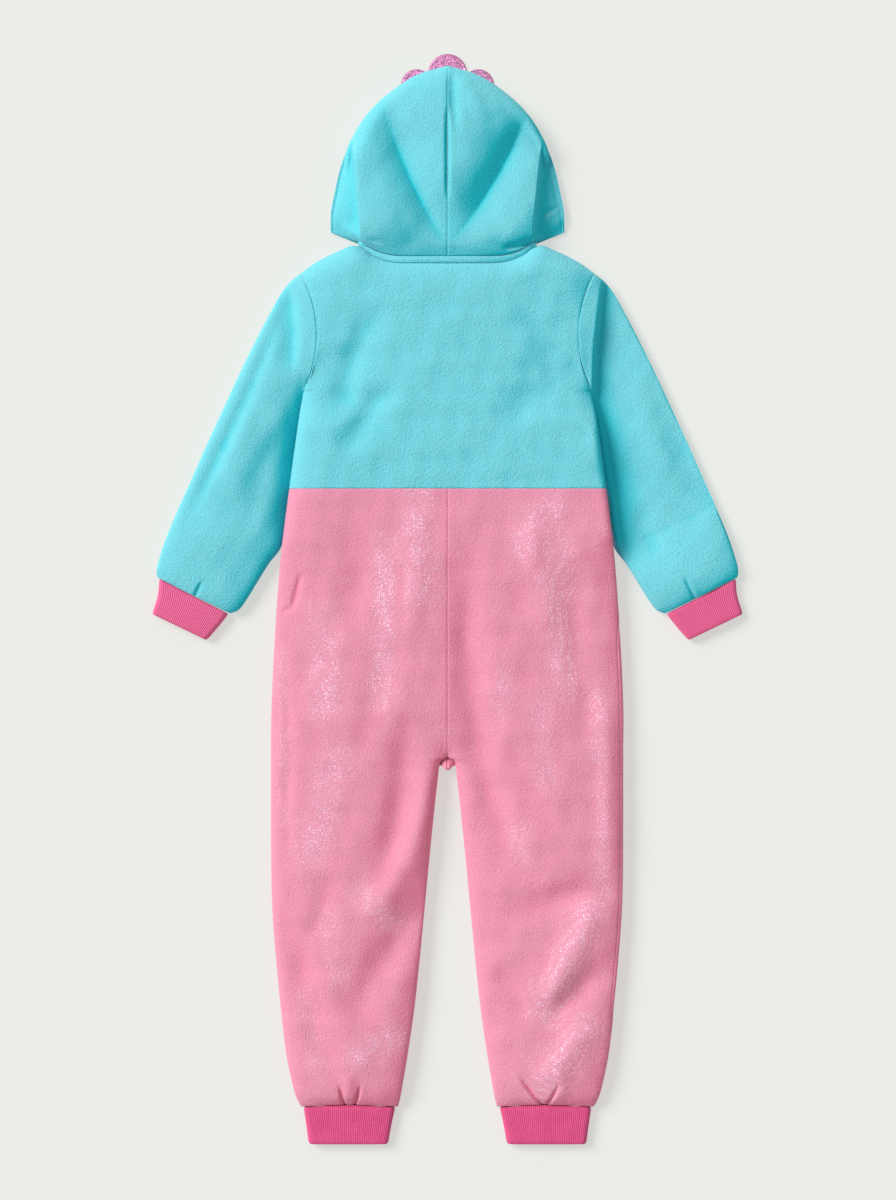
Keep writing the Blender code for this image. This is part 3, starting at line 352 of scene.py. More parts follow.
def columns(table, names, at):
    """Values of a table's named columns at places along its first one."""
    places = [row[0] for row in table]
    return [smooth(places, [getattr(row, name) for row in table], at) for name in names.split()]


def ease(t):
    t = np.clip(t, 0.0, 1.0)
    return t * t * (3 - 2 * t)


def quarter(distance, width):
    """1 at a folded edge and 0 from width inwards, as a quarter of an ellipse."""
    t = 1 - np.clip(distance / width, 0.0, 1.0)
    return 1 - np.sqrt(1 - t * t)


def rounded(distance, width):
    """0 at a folded edge and 1 from width inwards, as a rounded dome."""
    return (1 - (1 - np.clip(distance / width, 0.0, 1.0)) ** 2) ** (PUFF / 2)


def beside(line, x, y):
    """How far to the right of a fold's line a place is, and the share of its depth that it has there."""
    along = np.array([line.x1 - line.x0, line.y1 - line.y0], float)
    length = np.hypot(*along)
    along /= length
    t = ((x - line.x0) * along[0] + (y - line.y0) * along[1]) / length
    off = (x - line.x0) * along[1] - (y - line.y0) * along[0]
    ends = ease(t / line.fade) * ease((1 - t) / line.fade)
    return off - line.bow * 4 * np.clip(t, 0, 1) * (1 - np.clip(t, 0, 1)), ends


def width_at(fold, off):
    """A fold's width on the side of it that a place is on."""
    return np.where(off * fold.other > 0, abs(fold.other), fold.width)


def fold_depth(piece, x, y):
    """How far the folds of a piece lower its top at a place."""
    total = np.zeros(np.broadcast(x, y).shape)
    for fold in FOLDS[piece]:
        off, ends = beside(fold, x, y)
        total += fold.depth * ends * np.exp(-(np.abs(off / width_at(fold, off)) ** fold.power))
    for step in STEPS.get(piece, ()):
        off, ends = beside(step, x, y)
        total += step.drop * ends * (1 - np.exp(-np.maximum(-off, 0.0) / step.width))
    return total


def fold_shade_share(piece, x, y):
    """Painted shade: 1 along the bottom of a piece's deep folds, mostly on their side turned from the
    light, and close under its steps, and 0 away from them.
    """
    total = np.zeros(np.broadcast(x, y).shape)
    for fold in (f for f in FOLDS.get(piece, ()) if f.depth > 0):
        off, ends = beside(fold, x, y)
        shaded_side = off * ((fold.y1 - fold.y0) * AWAY_FROM_LIGHT[0] - (fold.x1 - fold.x0) * AWAY_FROM_LIGHT[1]) < 0
        shaded = width_at(fold, off) * SHADED_SHARE
        core = np.exp(-np.abs(off) / np.where(shaded_side, shaded, LIT_CORE))
        total = np.maximum(total, np.sqrt(ends) * core * min(fold.depth / DEEP_FOLD, 1.0))
    for step in STEPS.get(piece, ()):
        off, ends = beside(step, x, y)
        total = np.maximum(total, step.shade * np.sqrt(ends) * (off < 0) * np.exp(off / STEP_SHADE))
    return total


def past_tuck(x, y):
    """How far outside the line that the right sleeve is tucked down along a place is."""
    return x - smooth(*zip(*TUCK_LINE), y)


def tuck_shadow_share(x, y):
    """1 just outside the line that the right sleeve is tucked down along, and 0 away from it: the
    trunk's shadow painted on the sleeve.
    """
    outside = past_tuck(x, y)
    low = ease((y - TUCK_SHADE_LOW_Y) / TUCK_SHADE_FADE)
    return low * (outside > 0) * np.exp(-((np.abs(outside) / smooth(*zip(*TUCK_SHADE), y)) ** 3))


def tuck_drop(x, y, row):
    """How much lower the right sleeve lies outside the line that it is tucked down along."""
    outside = np.maximum(past_tuck(x, y), 0.0)
    drop = TUCK_DROP * (1 - np.exp(-((outside / TUCK_WIDTH) ** TUCK_KEEN)))
    return drop * ease((TUCK_END_ROW - row) / TUCK_FADE)


def ripple(x, y, seed):
    """The slight unevenness of cloth that lies loose."""
    rng = np.random.default_rng(seed)
    total = np.zeros(np.broadcast(x, y).shape)
    for wave in RIPPLE_WAVES:
        for turn, phase in zip(rng.uniform(0, math.pi, 3), rng.uniform(0, 2 * math.pi, 3)):
            way = x * math.cos(turn) + y * math.sin(turn)
            total += np.sin(2 * math.pi * way / wave + phase) * wave / RIPPLE_WAVES[0]
    return total * RIPPLE / 3


def lift(x, y):
    """How far the underside stands off the surface, over the zip's slider and the crest."""
    chin = np.exp(-((x / CHIN_SPREAD_X) ** 2) - ((y - CHIN_Y) / CHIN_SPREAD_Y) ** 2)
    crest = ease((y - CREST_BED_Y) / CREST_BED_SLOPE)
    crest = crest * ease((CREST_BED_HALF - np.abs(x)) / CREST_BED_SLOPE)
    return CHIN_LIFT * chin + CREST_LIFT * crest


# ---------------- surfaces of the garment

def body_turn(y):
    """How far round a ring's points are spread: a quarter turn in the trunk, a half in a leg."""
    return math.pi / 2 * (1 + ease((CROTCH_Y + CROTCH_BLEND - y) / CROTCH_BLEND))


def body_ring(side, y, t):
    """The trunk's half or the leg at y. t is 1 at its inner top, 0 at its outer edge, -1 below."""
    inner, outer, top, middle = columns(BODY, "inner outer top middle", y)
    turn = body_turn(y)
    share = (1 - np.cos(t * turn)) / (1 - np.cos(turn))
    x = outer - (outer - inner) * share
    above_crotch = np.maximum(y - CROTCH_Y, 0.0)
    settled = ease((CROTCH_Y - y) / CROTCH_SETTLE)
    near = np.exp(-(((x - inner) / CROTCH_NEAR) ** 2))
    from_inner = np.hypot(x - inner * (settled + (1 - settled) * near), above_crotch)
    half = (outer - inner) / 2
    outer_width = half * (1 + ease(above_crotch / TRUNK_BLEND))
    full = ease((UNDERARM_Y - y) / SIDE_HIGH_BLEND) * ease((y - SIDE_LOW_Y) / SIDE_LOW_BLEND)
    outer_width = outer_width + (SIDE_ROLL[side] - outer_width) * full
    middle = middle + SIDE_LIFT[side] * full * ease((x - inner) / half - 1)
    rise = rounded(from_inner, half) * rounded(outer - x, outer_width)
    dome = middle + (top - middle) * rise
    dip = fold_depth("leg", side * x, y) + ripple(side * x, y, 1)
    dome = dome - dip * ease(rise / FOLD_FULL)
    floor = middle * quarter(np.minimum(outer - x, from_inner), ROLL) + lift(x, y)
    floor = floor + np.maximum(fold_depth("front", side * x, y), 0.0)
    bow = HEM_BOW * ease((HEM_Y + ROLL - y) / ROLL) * 4 * share * (1 - share) * (t > 0)
    return np.stack([x, y + bow, np.where(t >= 0, dome, floor)], -1)


def seam_turn(side, y):
    """t of the side seam: on the right leg it lies a little way in on the top."""
    along = ease((SIDE_SEAM_TOP - y) / SIDE_SEAM_EASE) * ease((y - SIDE_SEAM_LOW) / SIDE_SEAM_EASE)
    inboard = np.where(side > 0, SIDE_SEAM_INBOARD * along, 0.0)
    inner, outer = columns(BODY, "inner outer", y)
    turn = body_turn(y)
    return np.arccos(1 - inboard / (outer - inner) * (1 - np.cos(turn))) / turn


def back_leg(side):
    """u is 0 at the inner top and 1 at the side seam; v is y."""
    return lambda u, v: body_ring(side, v, 1 - (1 - seam_turn(side, v)) * u)


def front_leg(side):
    """u is 0 at the side seam and 1 at the middle of the front; v is y."""

    def surface(u, v):
        seam = seam_turn(side, v)
        points = body_ring(side, v, seam - (1 + seam) * u)
        opening = (ZIP_HALF + SEAM_GAP) * ease((v - ZIP_LOW_Y + ZIP_EASE) / ZIP_EASE)
        points[..., 0] += opening * (1 - points[..., 0] / columns(BODY, "outer", v)[0])
        near = np.exp(-((points[..., 0] / CROTCH_SPREAD) ** 2) - ((v - CROTCH_Y) / CROTCH_SPREAD) ** 2)
        near = near * ease(u * 2 - 1)
        points[..., 1] -= CROTCH_DROP * near
        points[..., 2] += (CROTCH_RISE - points[..., 2]) * near
        return points

    return surface


def sleeve_ring(side, row, angle):
    """angle is 0 at the sleeve's outer edge, pi at its inner edge, and past pi underneath."""
    out_x, out_y, in_x, in_y, top = columns(SLEEVE, "out_x out_y in_x in_y top", row)
    out_mid, in_mid, in_puff, bulge = columns(SLEEVE, "out_mid in_mid in_puff bulge", row)
    share = (1 - np.cos(angle)) / 2
    x = out_x + (in_x - out_x) * share - bulge * np.sin(angle) ** 2
    y = out_y + (in_y - out_y) * share
    middle = out_mid + (in_mid - out_mid) * share
    puff = PUFF + (in_puff - PUFF) * share
    if side > 0:
        top = np.maximum(top - tuck_drop(x, y, row), middle + TUCK_LEAST)
    dome = middle + (top - middle) * np.abs(np.sin(angle)) ** puff
    dip = fold_depth("sleeve", side * x, y) + ripple(side * x, y, 2) * ease(row)
    dip = dip * ease(np.abs(np.sin(angle)) / SLEEVE_FOLD_FULL) * ease(row / SLEEVE_FOLD_ROW)
    width = np.hypot(in_x - out_x, in_y - out_y)
    floor = middle * quarter(width * np.minimum(share, 1 - share), ROLL)
    over = np.maximum(dome - dip, np.minimum(middle, SLEEVE_CLEAR))
    return np.stack([x, y, np.where(np.sin(angle) >= 0, over, floor)], -1)


def sleeve(side):
    """u is the angle round the sleeve; v is its row."""
    return lambda u, v: sleeve_ring(side, v, u)


def top_line(x):
    """The bodice's top edge: the neck seam, then the shoulder seam."""
    return smooth(*zip(*SHOULDER, *SHOULDER_END), np.abs(x))


def neck_height(x):
    """Height of the back neck seam, and of the shoulder seam outside it."""
    share = ease((np.abs(x) - NECK_FLAT_X) / (SHOULDER_X - NECK_FLAT_X))
    return NECK_TOP + (SHOULDER_MID - NECK_TOP) * share


TOP_LINE_X = np.array([row.neck_x for row in HOOD[::-1]] + [point[0] for point in SHOULDER_END])
BODICE_COLUMNS = np.linspace(0.0, 1.0, len(TOP_LINE_X))


def bodice_column(u, rise):
    """Share of the half width at column u, which spreads to the neck's points at the top."""
    top = smooth(BODICE_COLUMNS, TOP_LINE_X / TOP_LINE_X[-1], u)
    return (1 - rise) * np.sin(math.pi / 2 * u) + rise * top


def bodice_plan(side, v, turn, across, way, centre_top, top_edge):
    """A bodice panel's ring below the armhole; beside it, its shares of the way up and out, its x
    and y, and the armhole's points.

    turn is the place round the ring and across the share of the half width. way is -1 for the back
    and 1 for the front, centre_top its top at the centre, and top_edge its top edge's y by x.
    """
    low = body_ring(side, WAIST_Y + (UNDERARM_Y - WAIST_Y) * np.clip(v, 0, 1), turn)
    rise = np.clip(v - 1, 0, 1)
    armhole = sleeve_ring(side, 0 * rise, math.pi * (1 + way * rise))
    share = bodice_column(across, rise)
    x = armhole[..., 0] * share
    centre = UNDERARM_Y + (centre_top - UNDERARM_Y) * (1 - np.cos(math.pi * rise)) / 2
    level = centre + (armhole[..., 1] - centre) * share**2
    beyond = top_edge(armhole[..., 0]) - armhole[..., 1]
    y = level + (top_edge(x) - level - share**4 * beyond) * rise**4
    return low, rise, share, x, y, armhole


def back_bodice(side):
    """u is 0 at the centre and 1 at the side; v is 0 to 1 up the side seam, 1 to 2 up the armhole."""

    def surface(u, v):
        low, rise, share, x, y, armhole = bodice_plan(side, v, 1 - u, u, -1, NECK_Y, top_line)
        flat = ease(np.cos(math.pi / 2 * u) ** PUFF / FOLD_FULL)
        low[..., 2] -= fold_depth("bodice", side * low[..., 0], low[..., 1]) * flat
        climb = ease((rise / CHEST_CLIMB) ** 2)
        domed = 0.5 * PUFF + (1 - 0.5 * PUFF) * climb
        calm = BODY[-1].middle + (SLEEVE[0].top - BODY[-1].middle) * climb
        edge = calm + (armhole[..., 2] - calm) * share**ARMHOLE_KEEN
        dome = edge + (BODY[-1].top - edge) * np.abs(1 - share**2) ** domed
        dip = fold_depth("bodice", side * x, y) + ripple(side * x, y, 1)
        dome -= dip * ease(np.abs(1 - share**2) ** (0.5 * PUFF) / FOLD_FULL)
        keen = ROLL_KEEN[0] + ROLL_KEEN[1] * rise**6
        roll = quarter(top_line(x) - y, SHOULDER_ROLL) * (1 - share**keen)
        high = np.stack([x, y, dome + (neck_height(x) - dome) * roll], -1)
        return np.where((v <= 1)[..., None], low, high)

    return surface


def whole_back(u, v):
    """The back bodice in one piece: u runs from -1 at its left side to 1 at its right."""
    right = back_bodice(1)(np.abs(u), v)
    left = back_bodice(-1)(np.abs(u), v) * np.array([-1.0, 1.0, 1.0])
    return np.where((u >= 0)[..., None], right, left)


def front_neckline(x):
    """The front's top edge: the neckline from the zip to the neck point, then the shoulder seam."""
    seam = HOOD[0]
    slope = (seam.out_y - seam.face_y) / (seam.out_x - seam.face_x)
    neck = np.minimum(seam.face_y + (x - seam.face_x) * slope, NECK_CORNER[1])
    return np.where(x < NECK_CORNER[0], neck, top_line(x))


def front_bodice(side):
    """u is 0 at the side and 1 at the zip; v as for the back."""

    def surface(u, v):
        low, _, share, x, y, armhole = bodice_plan(
            side, v, -u, 1 - u, 1, HOOD[0].face_y, front_neckline
        )
        side_roll = armhole[..., 2] * quarter(armhole[..., 0] - x, ROLL)
        outside = ease((x - SHOULDER_LOW_X) / (NECK_CORNER[0] - SHOULDER_LOW_X))
        shoulder = neck_height(x) * quarter(top_line(x) - y, ROLL) * outside
        under = np.maximum(side_roll, shoulder) + lift(x, y)
        high = np.stack([x, y, under + fold_depth("front", side * x, y)], -1)
        points = np.where((v <= 1)[..., None], low, high)
        points[..., 0] += (ZIP_HALF + SEAM_GAP) * (1 - share)
        return points

    return surface


def hood_fan(side):
    """u is 0 at the neck, 1 at the hood's outline and 2 at the face opening; v is the fan's rib."""

    def surface(u, v):
        ends = ("neck_x neck_y", "out_x out_y", "face_x face_y")
        neck, outline, face = (np.stack(columns(HOOD, names, v), -1) for names in ends)
        top, middle = columns(HOOD, "top middle", v)
        over = np.sin(math.pi / 2 * np.clip(u, 0, 1))
        plan = neck + (outline - neck) * over[..., None]
        start = neck_height(neck[..., 0])
        dome = middle + (top - middle) * np.abs(1 - over ** HOOD_DOME[0]) ** HOOD_DOME[1]
        near = np.clip(1 - over / HOOD_CLIMB, 0, 1)
        dome -= (top - start) * near**2 * (1 + 2 * (1 - near) * np.clip(1 - v, 0, 1))
        dip = fold_depth("hood", side * plan[..., 0], plan[..., 1])
        dip = dip + ripple(side * plan[..., 0], plan[..., 1], 3)
        to_rim = np.maximum(ease((1 - over) / HOOD_FOLD_RIM), ease(HOOD_FLAP_RIBS - v))
        dip = dip * ease(over / HOOD_FOLD_NECK) * to_rim
        low = np.minimum(middle, HOOD_CLEAR)
        above, eased = dome - dip - low, HOOD_EASED * ease((1 - over) / HOOD_LEVEL)
        dome = low + (above + np.sqrt(above**2 + eased**2)) / 2
        under = 1 - np.cos(math.pi / 2 * np.clip(u - 1, 0, 1))
        below = outline + (face - outline) * under[..., None]
        reach = np.hypot(*np.moveaxis(outline - face, -1, 0))
        floor = middle * quarter(under * reach, ROLL) + lift(below[..., 0], below[..., 1])
        from_hem = ((1 - under) * reach - FACE_HEM) / FACE_HEM_WIDTH
        floor = floor + FACE_HEM_RISE * np.exp(-(from_hem**2))
        high = np.concatenate([plan, dome[..., None]], -1)
        low = np.concatenate([below, floor[..., None]], -1)
        return np.where((u <= 1)[..., None], high, low)

    return surface


def neck_tape(u, v):
    """u is x along the back neck; v runs from the bodice's edge towards the hood's."""
    x = np.abs(u)
    low = top_line(x)
    high = smooth([row.neck_x for row in HOOD[::-1]], [row.neck_y for row in HOOD[::-1]], x)
    hollow = TAPE_LINE_DEPTH * np.exp(-(((v - TAPE_LINE) / TAPE_LINE_WIDTH) ** 2))
    tucked = ease((np.abs(v - 0.5) - TAPE_TUCK_FROM) / TAPE_TUCK_OVER)
    rise = TAPE_RISE * (1 - np.minimum(np.abs(2 * v - 1), 1.0) ** 4) - hollow - TAPE_TUCK * tucked
    return np.stack([u, low + (high - low) * v, neck_height(x) + rise], -1)


# ---------------- meshes

def distances(path):
    """How far along a path each of its points is."""
    return np.concatenate([[0.0], np.cumsum(np.linalg.norm(np.diff(path, axis=0), axis=1))])


def spaced(surface, axis, low, high, at, step, seams=(True, True)):
    """An odd number of parameters, their points step apart, and closer by a seam.

    They are measured along the line where the surface's other parameter has the value at.
    """
    t = np.linspace(low, high, 800)
    pair = (t, np.full_like(t, at)) if axis == 0 else (np.full_like(t, at), t)
    way = distances(surface(pair[0][None], pair[1][None])[0])
    places = np.linspace(0.0, way[-1], max(2, round(way[-1] / step)) + 1)
    near = SEAM_STEPS[-1] + step / 2
    if seams[0]:
        places = np.concatenate([SEAM_STEPS, places[places > near]])
    if seams[1]:
        places = np.concatenate([places[places < way[-1] - near], way[-1] - SEAM_STEPS[::-1]])
    if len(places) % 2 == 0:
        middle = len(places) // 2
        places = np.insert(places, middle, (places[middle - 1] + places[middle]) / 2)
    return np.interp(places, way, t)


def grid_normals(grid, wrap):
    """Normals of a grid of points, found from their neighbours."""
    if wrap:
        across = np.roll(grid, -1, axis=1) - np.roll(grid, 1, axis=1)
    else:
        across = np.gradient(grid, axis=1)
    normal = np.cross(across, np.gradient(grid, axis=0))
    return normal / np.maximum(np.linalg.norm(normal, axis=-1, keepdims=True), 1e-12)


def seam_share(grid, seams):
    """1 at a seamed edge of a grid and 0 inside it. seams are for its left, right, low and high edge."""
    total = np.zeros(grid.shape[:2])
    for axis, pair in ((1, seams[:2]), (0, seams[2:])):
        steps = np.linalg.norm(np.diff(grid, axis=axis), axis=-1)
        way = np.insert(np.cumsum(steps, axis=axis), 0, 0.0, axis=axis)
        back = np.take(way, [-1], axis=axis) - way
        for seamed, distance in zip(pair, (way, back)):
            if seamed:
                total = np.maximum(total, quarter(distance, SEAM_WIDTH))
    return total


def softened(grid, reach):
    """The grid's points, each moved to the mean of the points within reach of it."""
    for axis in (0, 1):
        pads = [(0, 0)] * grid.ndim
        pads[axis] = (reach + 1, reach)
        total = np.cumsum(np.pad(grid, pads, mode="edge"), axis=axis)
        ahead = np.split(total, [2 * reach + 1], axis=axis)[1]
        behind = np.split(total, [ahead.shape[axis]], axis=axis)[0]
        grid = (ahead - behind) / (2 * reach + 1)
    return grid


def crease_shade_share(grid, normal):
    """1 deep in a crease of a grid and 0 on its flats and its ridges: where shade is painted."""
    soft = softened(softened(grid, HOLLOW_REACH), HOLLOW_REACH)
    return np.clip(((soft - grid) * normal).sum(-1) / HOLLOW_DEPTH, 0.0, 1.0)


def turned_from_light_share(normal):
    """1 where the surface leans away from the light: painted shade on slopes turned from it."""
    return np.clip((normal @ np.array(AWAY_FROM_LIGHT) - TURNED_SHADE_FROM) / TURNED_SHADE_OVER, 0.0, 1.0)


def foil_highlight_share(points):
    """Painted highlight: how strongly the foil print is drawn catching the light at each place."""
    x, y = points[:, 0], points[:, 1]
    total = np.zeros(len(points))
    for streak in STREAKS:
        along = np.array([streak.x1 - streak.x0, streak.y1 - streak.y0], float)
        t = ((x - streak.x0) * along[0] + (y - streak.y0) * along[1]) / (along @ along)
        nearest = np.clip(t, 0, 1)
        off = np.hypot(x - streak.x0 - nearest * along[0], y - streak.y0 - nearest * along[1])
        width = streak.width * STREAK_SPREAD
        total = np.maximum(total, streak.strength * np.exp(-((off / width) ** 2)))
    return total


def rim(outer, inner, flip):
    """Faces between an edge of the outer grid and of the inner one, which has half the points."""
    a, b, c = outer[:-1:2], outer[1::2], outer[2::2]
    low, high = inner[:-1], inner[1:]
    faces = np.concatenate([np.stack(f, -1) for f in ((b, a, low), (c, b, high), (b, low, high))])
    return faces[:, ::-1] if flip else faces


def shell_faces(outer, inner, wrap):
    """Quads and triangles of a closed shell, from the index grids of its two walls."""
    if wrap:
        outer, inner = (np.concatenate([grid, grid[:, :1]], 1) for grid in (outer, inner))
    edge_rows = [(outer[0], inner[0], False), (outer[-1], inner[-1], True)]
    if not wrap:
        edge_rows += [(outer[:, 0], inner[:, 0], True), (outer[:, -1], inner[:, -1], False)]
    quads = []
    for grid, flip in ((outer, False), (inner, True)):
        quad = np.stack([grid[:-1, :-1], grid[:-1, 1:], grid[1:, 1:], grid[1:, :-1]], -1).reshape(-1, 4)
        quads.append(quad[:, ::-1] if flip else quad)
    return np.concatenate(quads), np.concatenate([rim(*row) for row in edge_rows])


def two_walls(outer, inner, side, wrap, turned=False):
    """Points and faces of a closed shell from the grids of its walls, mirrored for the left side.

    turned is for a grid that runs the other way round.
    """
    points = np.concatenate([outer.reshape(-1, 3), inner.reshape(-1, 3)])
    outer_index = np.arange(outer[..., 0].size).reshape(outer.shape[:2])
    inner_index = outer_index.size + np.arange(inner[..., 0].size).reshape(inner.shape[:2])
    faces = shell_faces(outer_index, inner_index, wrap)
    points[:, 0] *= side
    if turned == (side > 0):
        faces = [group[:, ::-1] for group in faces]
    return points, faces


def on_outer(values, inner, inside=0.0):
    """An outer wall's values, followed by the one that all points of the inner wall have."""
    return np.concatenate([values.ravel(), np.full(inner[..., 0].size, inside)])


def tube_faces(index):
    """Quads round tubes, from the index of their points by tube, ring and place in the ring."""
    turned = np.roll(index, -1, axis=2)
    return np.stack([index[:, :-1], index[:, 1:], turned[:, 1:], turned[:, :-1]], -1).reshape(-1, 4)


def placed(name, data):
    """A new object in the scene."""
    made = bpy.data.objects.new(name, data)
    bpy.context.scene.collection.objects.link(made)
    return made


def mesh_piece(name, points, faces, slot, **attributes):
    """A piece of the garment from points in millimetres and faces, riding on the garment."""
    mesh = bpy.data.meshes.new(name)
    mesh.from_pydata((points * MM).tolist(), [], [f for group in faces for f in group.tolist()])
    for key, values in attributes.items():
        mesh.attributes.new(key, "FLOAT", "POINT").data.foreach_set("value", values.astype(np.float32))
    mesh.materials.append(MATERIALS[slot])
    mesh.shade_smooth()
    mesh.set_sharp_from_angle(angle=math.radians(SHARP_ANGLE))
    made = placed(name, mesh)
    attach(made, BODY_NAME)
    return made


def shell(name, surface, u, v, slot, side=1, wrap=False, seams=(1, 1, 1, 1), wall=FLEECE, folds=""):
    """A closed shell of cloth over the grid v by u, drawn in along its seams. folds names its folds."""
    outer = surface(*np.meshgrid(u, v))
    share = seam_share(outer, seams)
    outer = outer - grid_normals(outer, wrap) * (SEAM_DEPTH * share)[..., None]
    normal = grid_normals(outer, wrap)
    for view in [outer] if wrap else [outer, np.swapaxes(outer, 0, 1)]:
        for edge, inside in ((0, 1), (-1, -2)):
            toward = view[inside] - view[edge]
            length = np.maximum(np.linalg.norm(toward, axis=-1, keepdims=True), 1e-9)
            view[edge] += toward / length * TOUCH / 2
    outer[..., 2] = np.maximum(outer[..., 2], 0.0)
    inner = (outer - normal * wall)[::2, ::2]
    inner[..., 2] = np.maximum(inner[..., 2], 0.0)
    points, faces = two_walls(outer, inner, side, wrap)
    # Painted shade, by point: along fold bottoms and under steps, in the trunk's shadow beside the right
    # sleeve, on slopes turned from the light, and in creases
    deep = fold_shade_share(folds, side * outer[..., 0], outer[..., 1])
    if folds == "sleeve" and side > 0:
        deep = np.maximum(deep, tuck_shadow_share(outer[..., 0], outer[..., 1]))
    painted_shade = np.maximum(turned_from_light_share(normal * np.array([side, 1.0, 1.0])), deep * (normal[..., 2] > 0))
    values = {
        "seam": on_outer(share, inner, 1.0),
        "hollow": on_outer(crease_shade_share(outer, normal), inner),
        "painted_shade": on_outer(painted_shade, inner),
    }
    if slot == "pink_fleece":
        values["foil_and_highlight"] = foil_highlight_share(points)
    return mesh_piece(name, points, faces, slot, **values)


# ---------------- materials

class Shader:
    """A material's node tree, built a node at a time."""

    def __init__(self, name):
        self.material = bpy.data.materials.new(name)
        self.material.use_nodes = True
        self.tree = self.material.node_tree
        self.surface = self.tree.nodes["Principled BSDF"]
        self.place = self.add("TexCoord").outputs["Object"]

    def add(self, kind, inputs=(), **settings):
        node = self.tree.nodes.new("ShaderNode" + kind)
        for key, value in settings.items():
            setattr(node, key, value)
        for key, value in dict(inputs).items():
            self.feed(node.inputs[key], value)
        return node

    def feed(self, socket, value):
        if isinstance(value, bpy.types.NodeSocket):
            self.tree.links.new(value, socket)
        else:
            socket.default_value = value

    def set(self, **values):
        for key, value in values.items():
            self.feed(self.surface.inputs[key.replace("_", " ")], value)

    def math(self, operation, a, b=0.0, clamp=False):
        return self.add("Math", {0: a, 1: b}, operation=operation, use_clamp=clamp).outputs[0]

    def times(self, a, b):
        return self.math("MULTIPLY", a, b)

    def plus(self, a, b):
        return self.math("ADD", a, b)

    def range(self, value, low, high, to_low=0.0, to_high=1.0):
        inputs = {"Value": value, "From Min": low, "From Max": high, "To Min": to_low, "To Max": to_high}
        return self.add("MapRange", inputs).outputs["Result"]

    def mix(self, share, a, b):
        inputs = {0: share, 6: a, 7: b}
        return self.add("Mix", inputs, data_type="RGBA").outputs[2]

    def stretched(self, scale):
        return self.add("Mapping", {"Vector": self.place, "Scale": scale}).outputs["Vector"]

    def noise(self, per_metre, detail=2.0, rough=0.5, place=None):
        inputs = {"Vector": place or self.place, "Scale": per_metre}
        inputs |= {"Detail": detail, "Roughness": rough}
        return self.add("TexNoise", inputs).outputs[0]

    def cells(self, per_metre, feature="F1", **inputs):
        inputs |= {"Vector": self.place, "Scale": per_metre}
        return self.add("TexVoronoi", inputs, feature=feature).outputs

    def vector(self, operation, value, inputs=()):
        return self.add("VectorMath", {0: value} | dict(inputs), operation=operation).outputs[0]

    def tipped(self, tip, amount):
        """The surface's normal, tipped in each cell its own way by the cell's random colour."""
        lean = self.vector("SUBTRACT", tip, {1: (0.5, 0.5, 0.5)})
        lean = self.vector("SCALE", lean, {"Scale": amount})
        facing = self.add("NewGeometry").outputs["Normal"]
        return self.vector("NORMALIZE", self.vector("ADD", facing, {1: lean}))

    def bump(self, height, distance):
        return self.add("Bump", {"Height": height, "Distance": distance}).outputs["Normal"]

    def attribute(self, name):
        return self.add("Attribute", attribute_name=name).outputs["Fac"]


def rgb(red, green, blue):
    return (red, green, blue, 1.0)


def fleece(shader, dark, light, deep):
    """Colour and relief of short-napped fleece: fine tufts on softer, larger patches, with painted shade
    in its seams, creases, fold bottoms and slopes turned from the light.
    """
    tuft = shader.noise(1500.0, 2.0, 0.6)
    clump = shader.cells(620.0, "SMOOTH_F1", Smoothness=0.6)["Distance"]
    clump = shader.plus(shader.range(clump, 0.0, 0.8, 0.7, 0.0), shader.noise(300.0))
    share = shader.plus(shader.times(tuft, 0.45), shader.times(clump, 0.4))
    share = shader.plus(share, shader.times(shader.noise(26.0), 0.15))
    colour = shader.mix(shader.range(share, 0.3, 0.7), dark, light)
    # Painted shade: the colour turns towards deep, a darker, more saturated tone, in seam grooves,
    # creases, fold bottoms and on slopes turned from the light
    seam = shader.range(shader.attribute("seam"), 0.2, 1.0, 0.0, 0.35)
    hollow = shader.math("MAXIMUM", shader.attribute("hollow"), shader.attribute("painted_shade"))
    colour = shader.mix(shader.math("MAXIMUM", seam, hollow), colour, deep)
    return colour, shader.plus(shader.times(tuft, 0.5), clump)


def aqua_fleece():
    shader = Shader("aqua_fleece")
    # The last colour is the painted shade colour
    colour, height = fleece(
        shader, rgb(0.130, 0.592, 0.672), rgb(0.186, 0.663, 0.743), rgb(0.003, 0.57, 0.67)
    )
    shader.set(Base_Color=colour, Roughness=0.95, Normal=shader.bump(height, 0.0006))
    shader.set(Sheen_Weight=0.2, Sheen_Roughness=0.45, Sheen_Tint=rgb(0.75, 0.97, 1.0))
    return shader.material


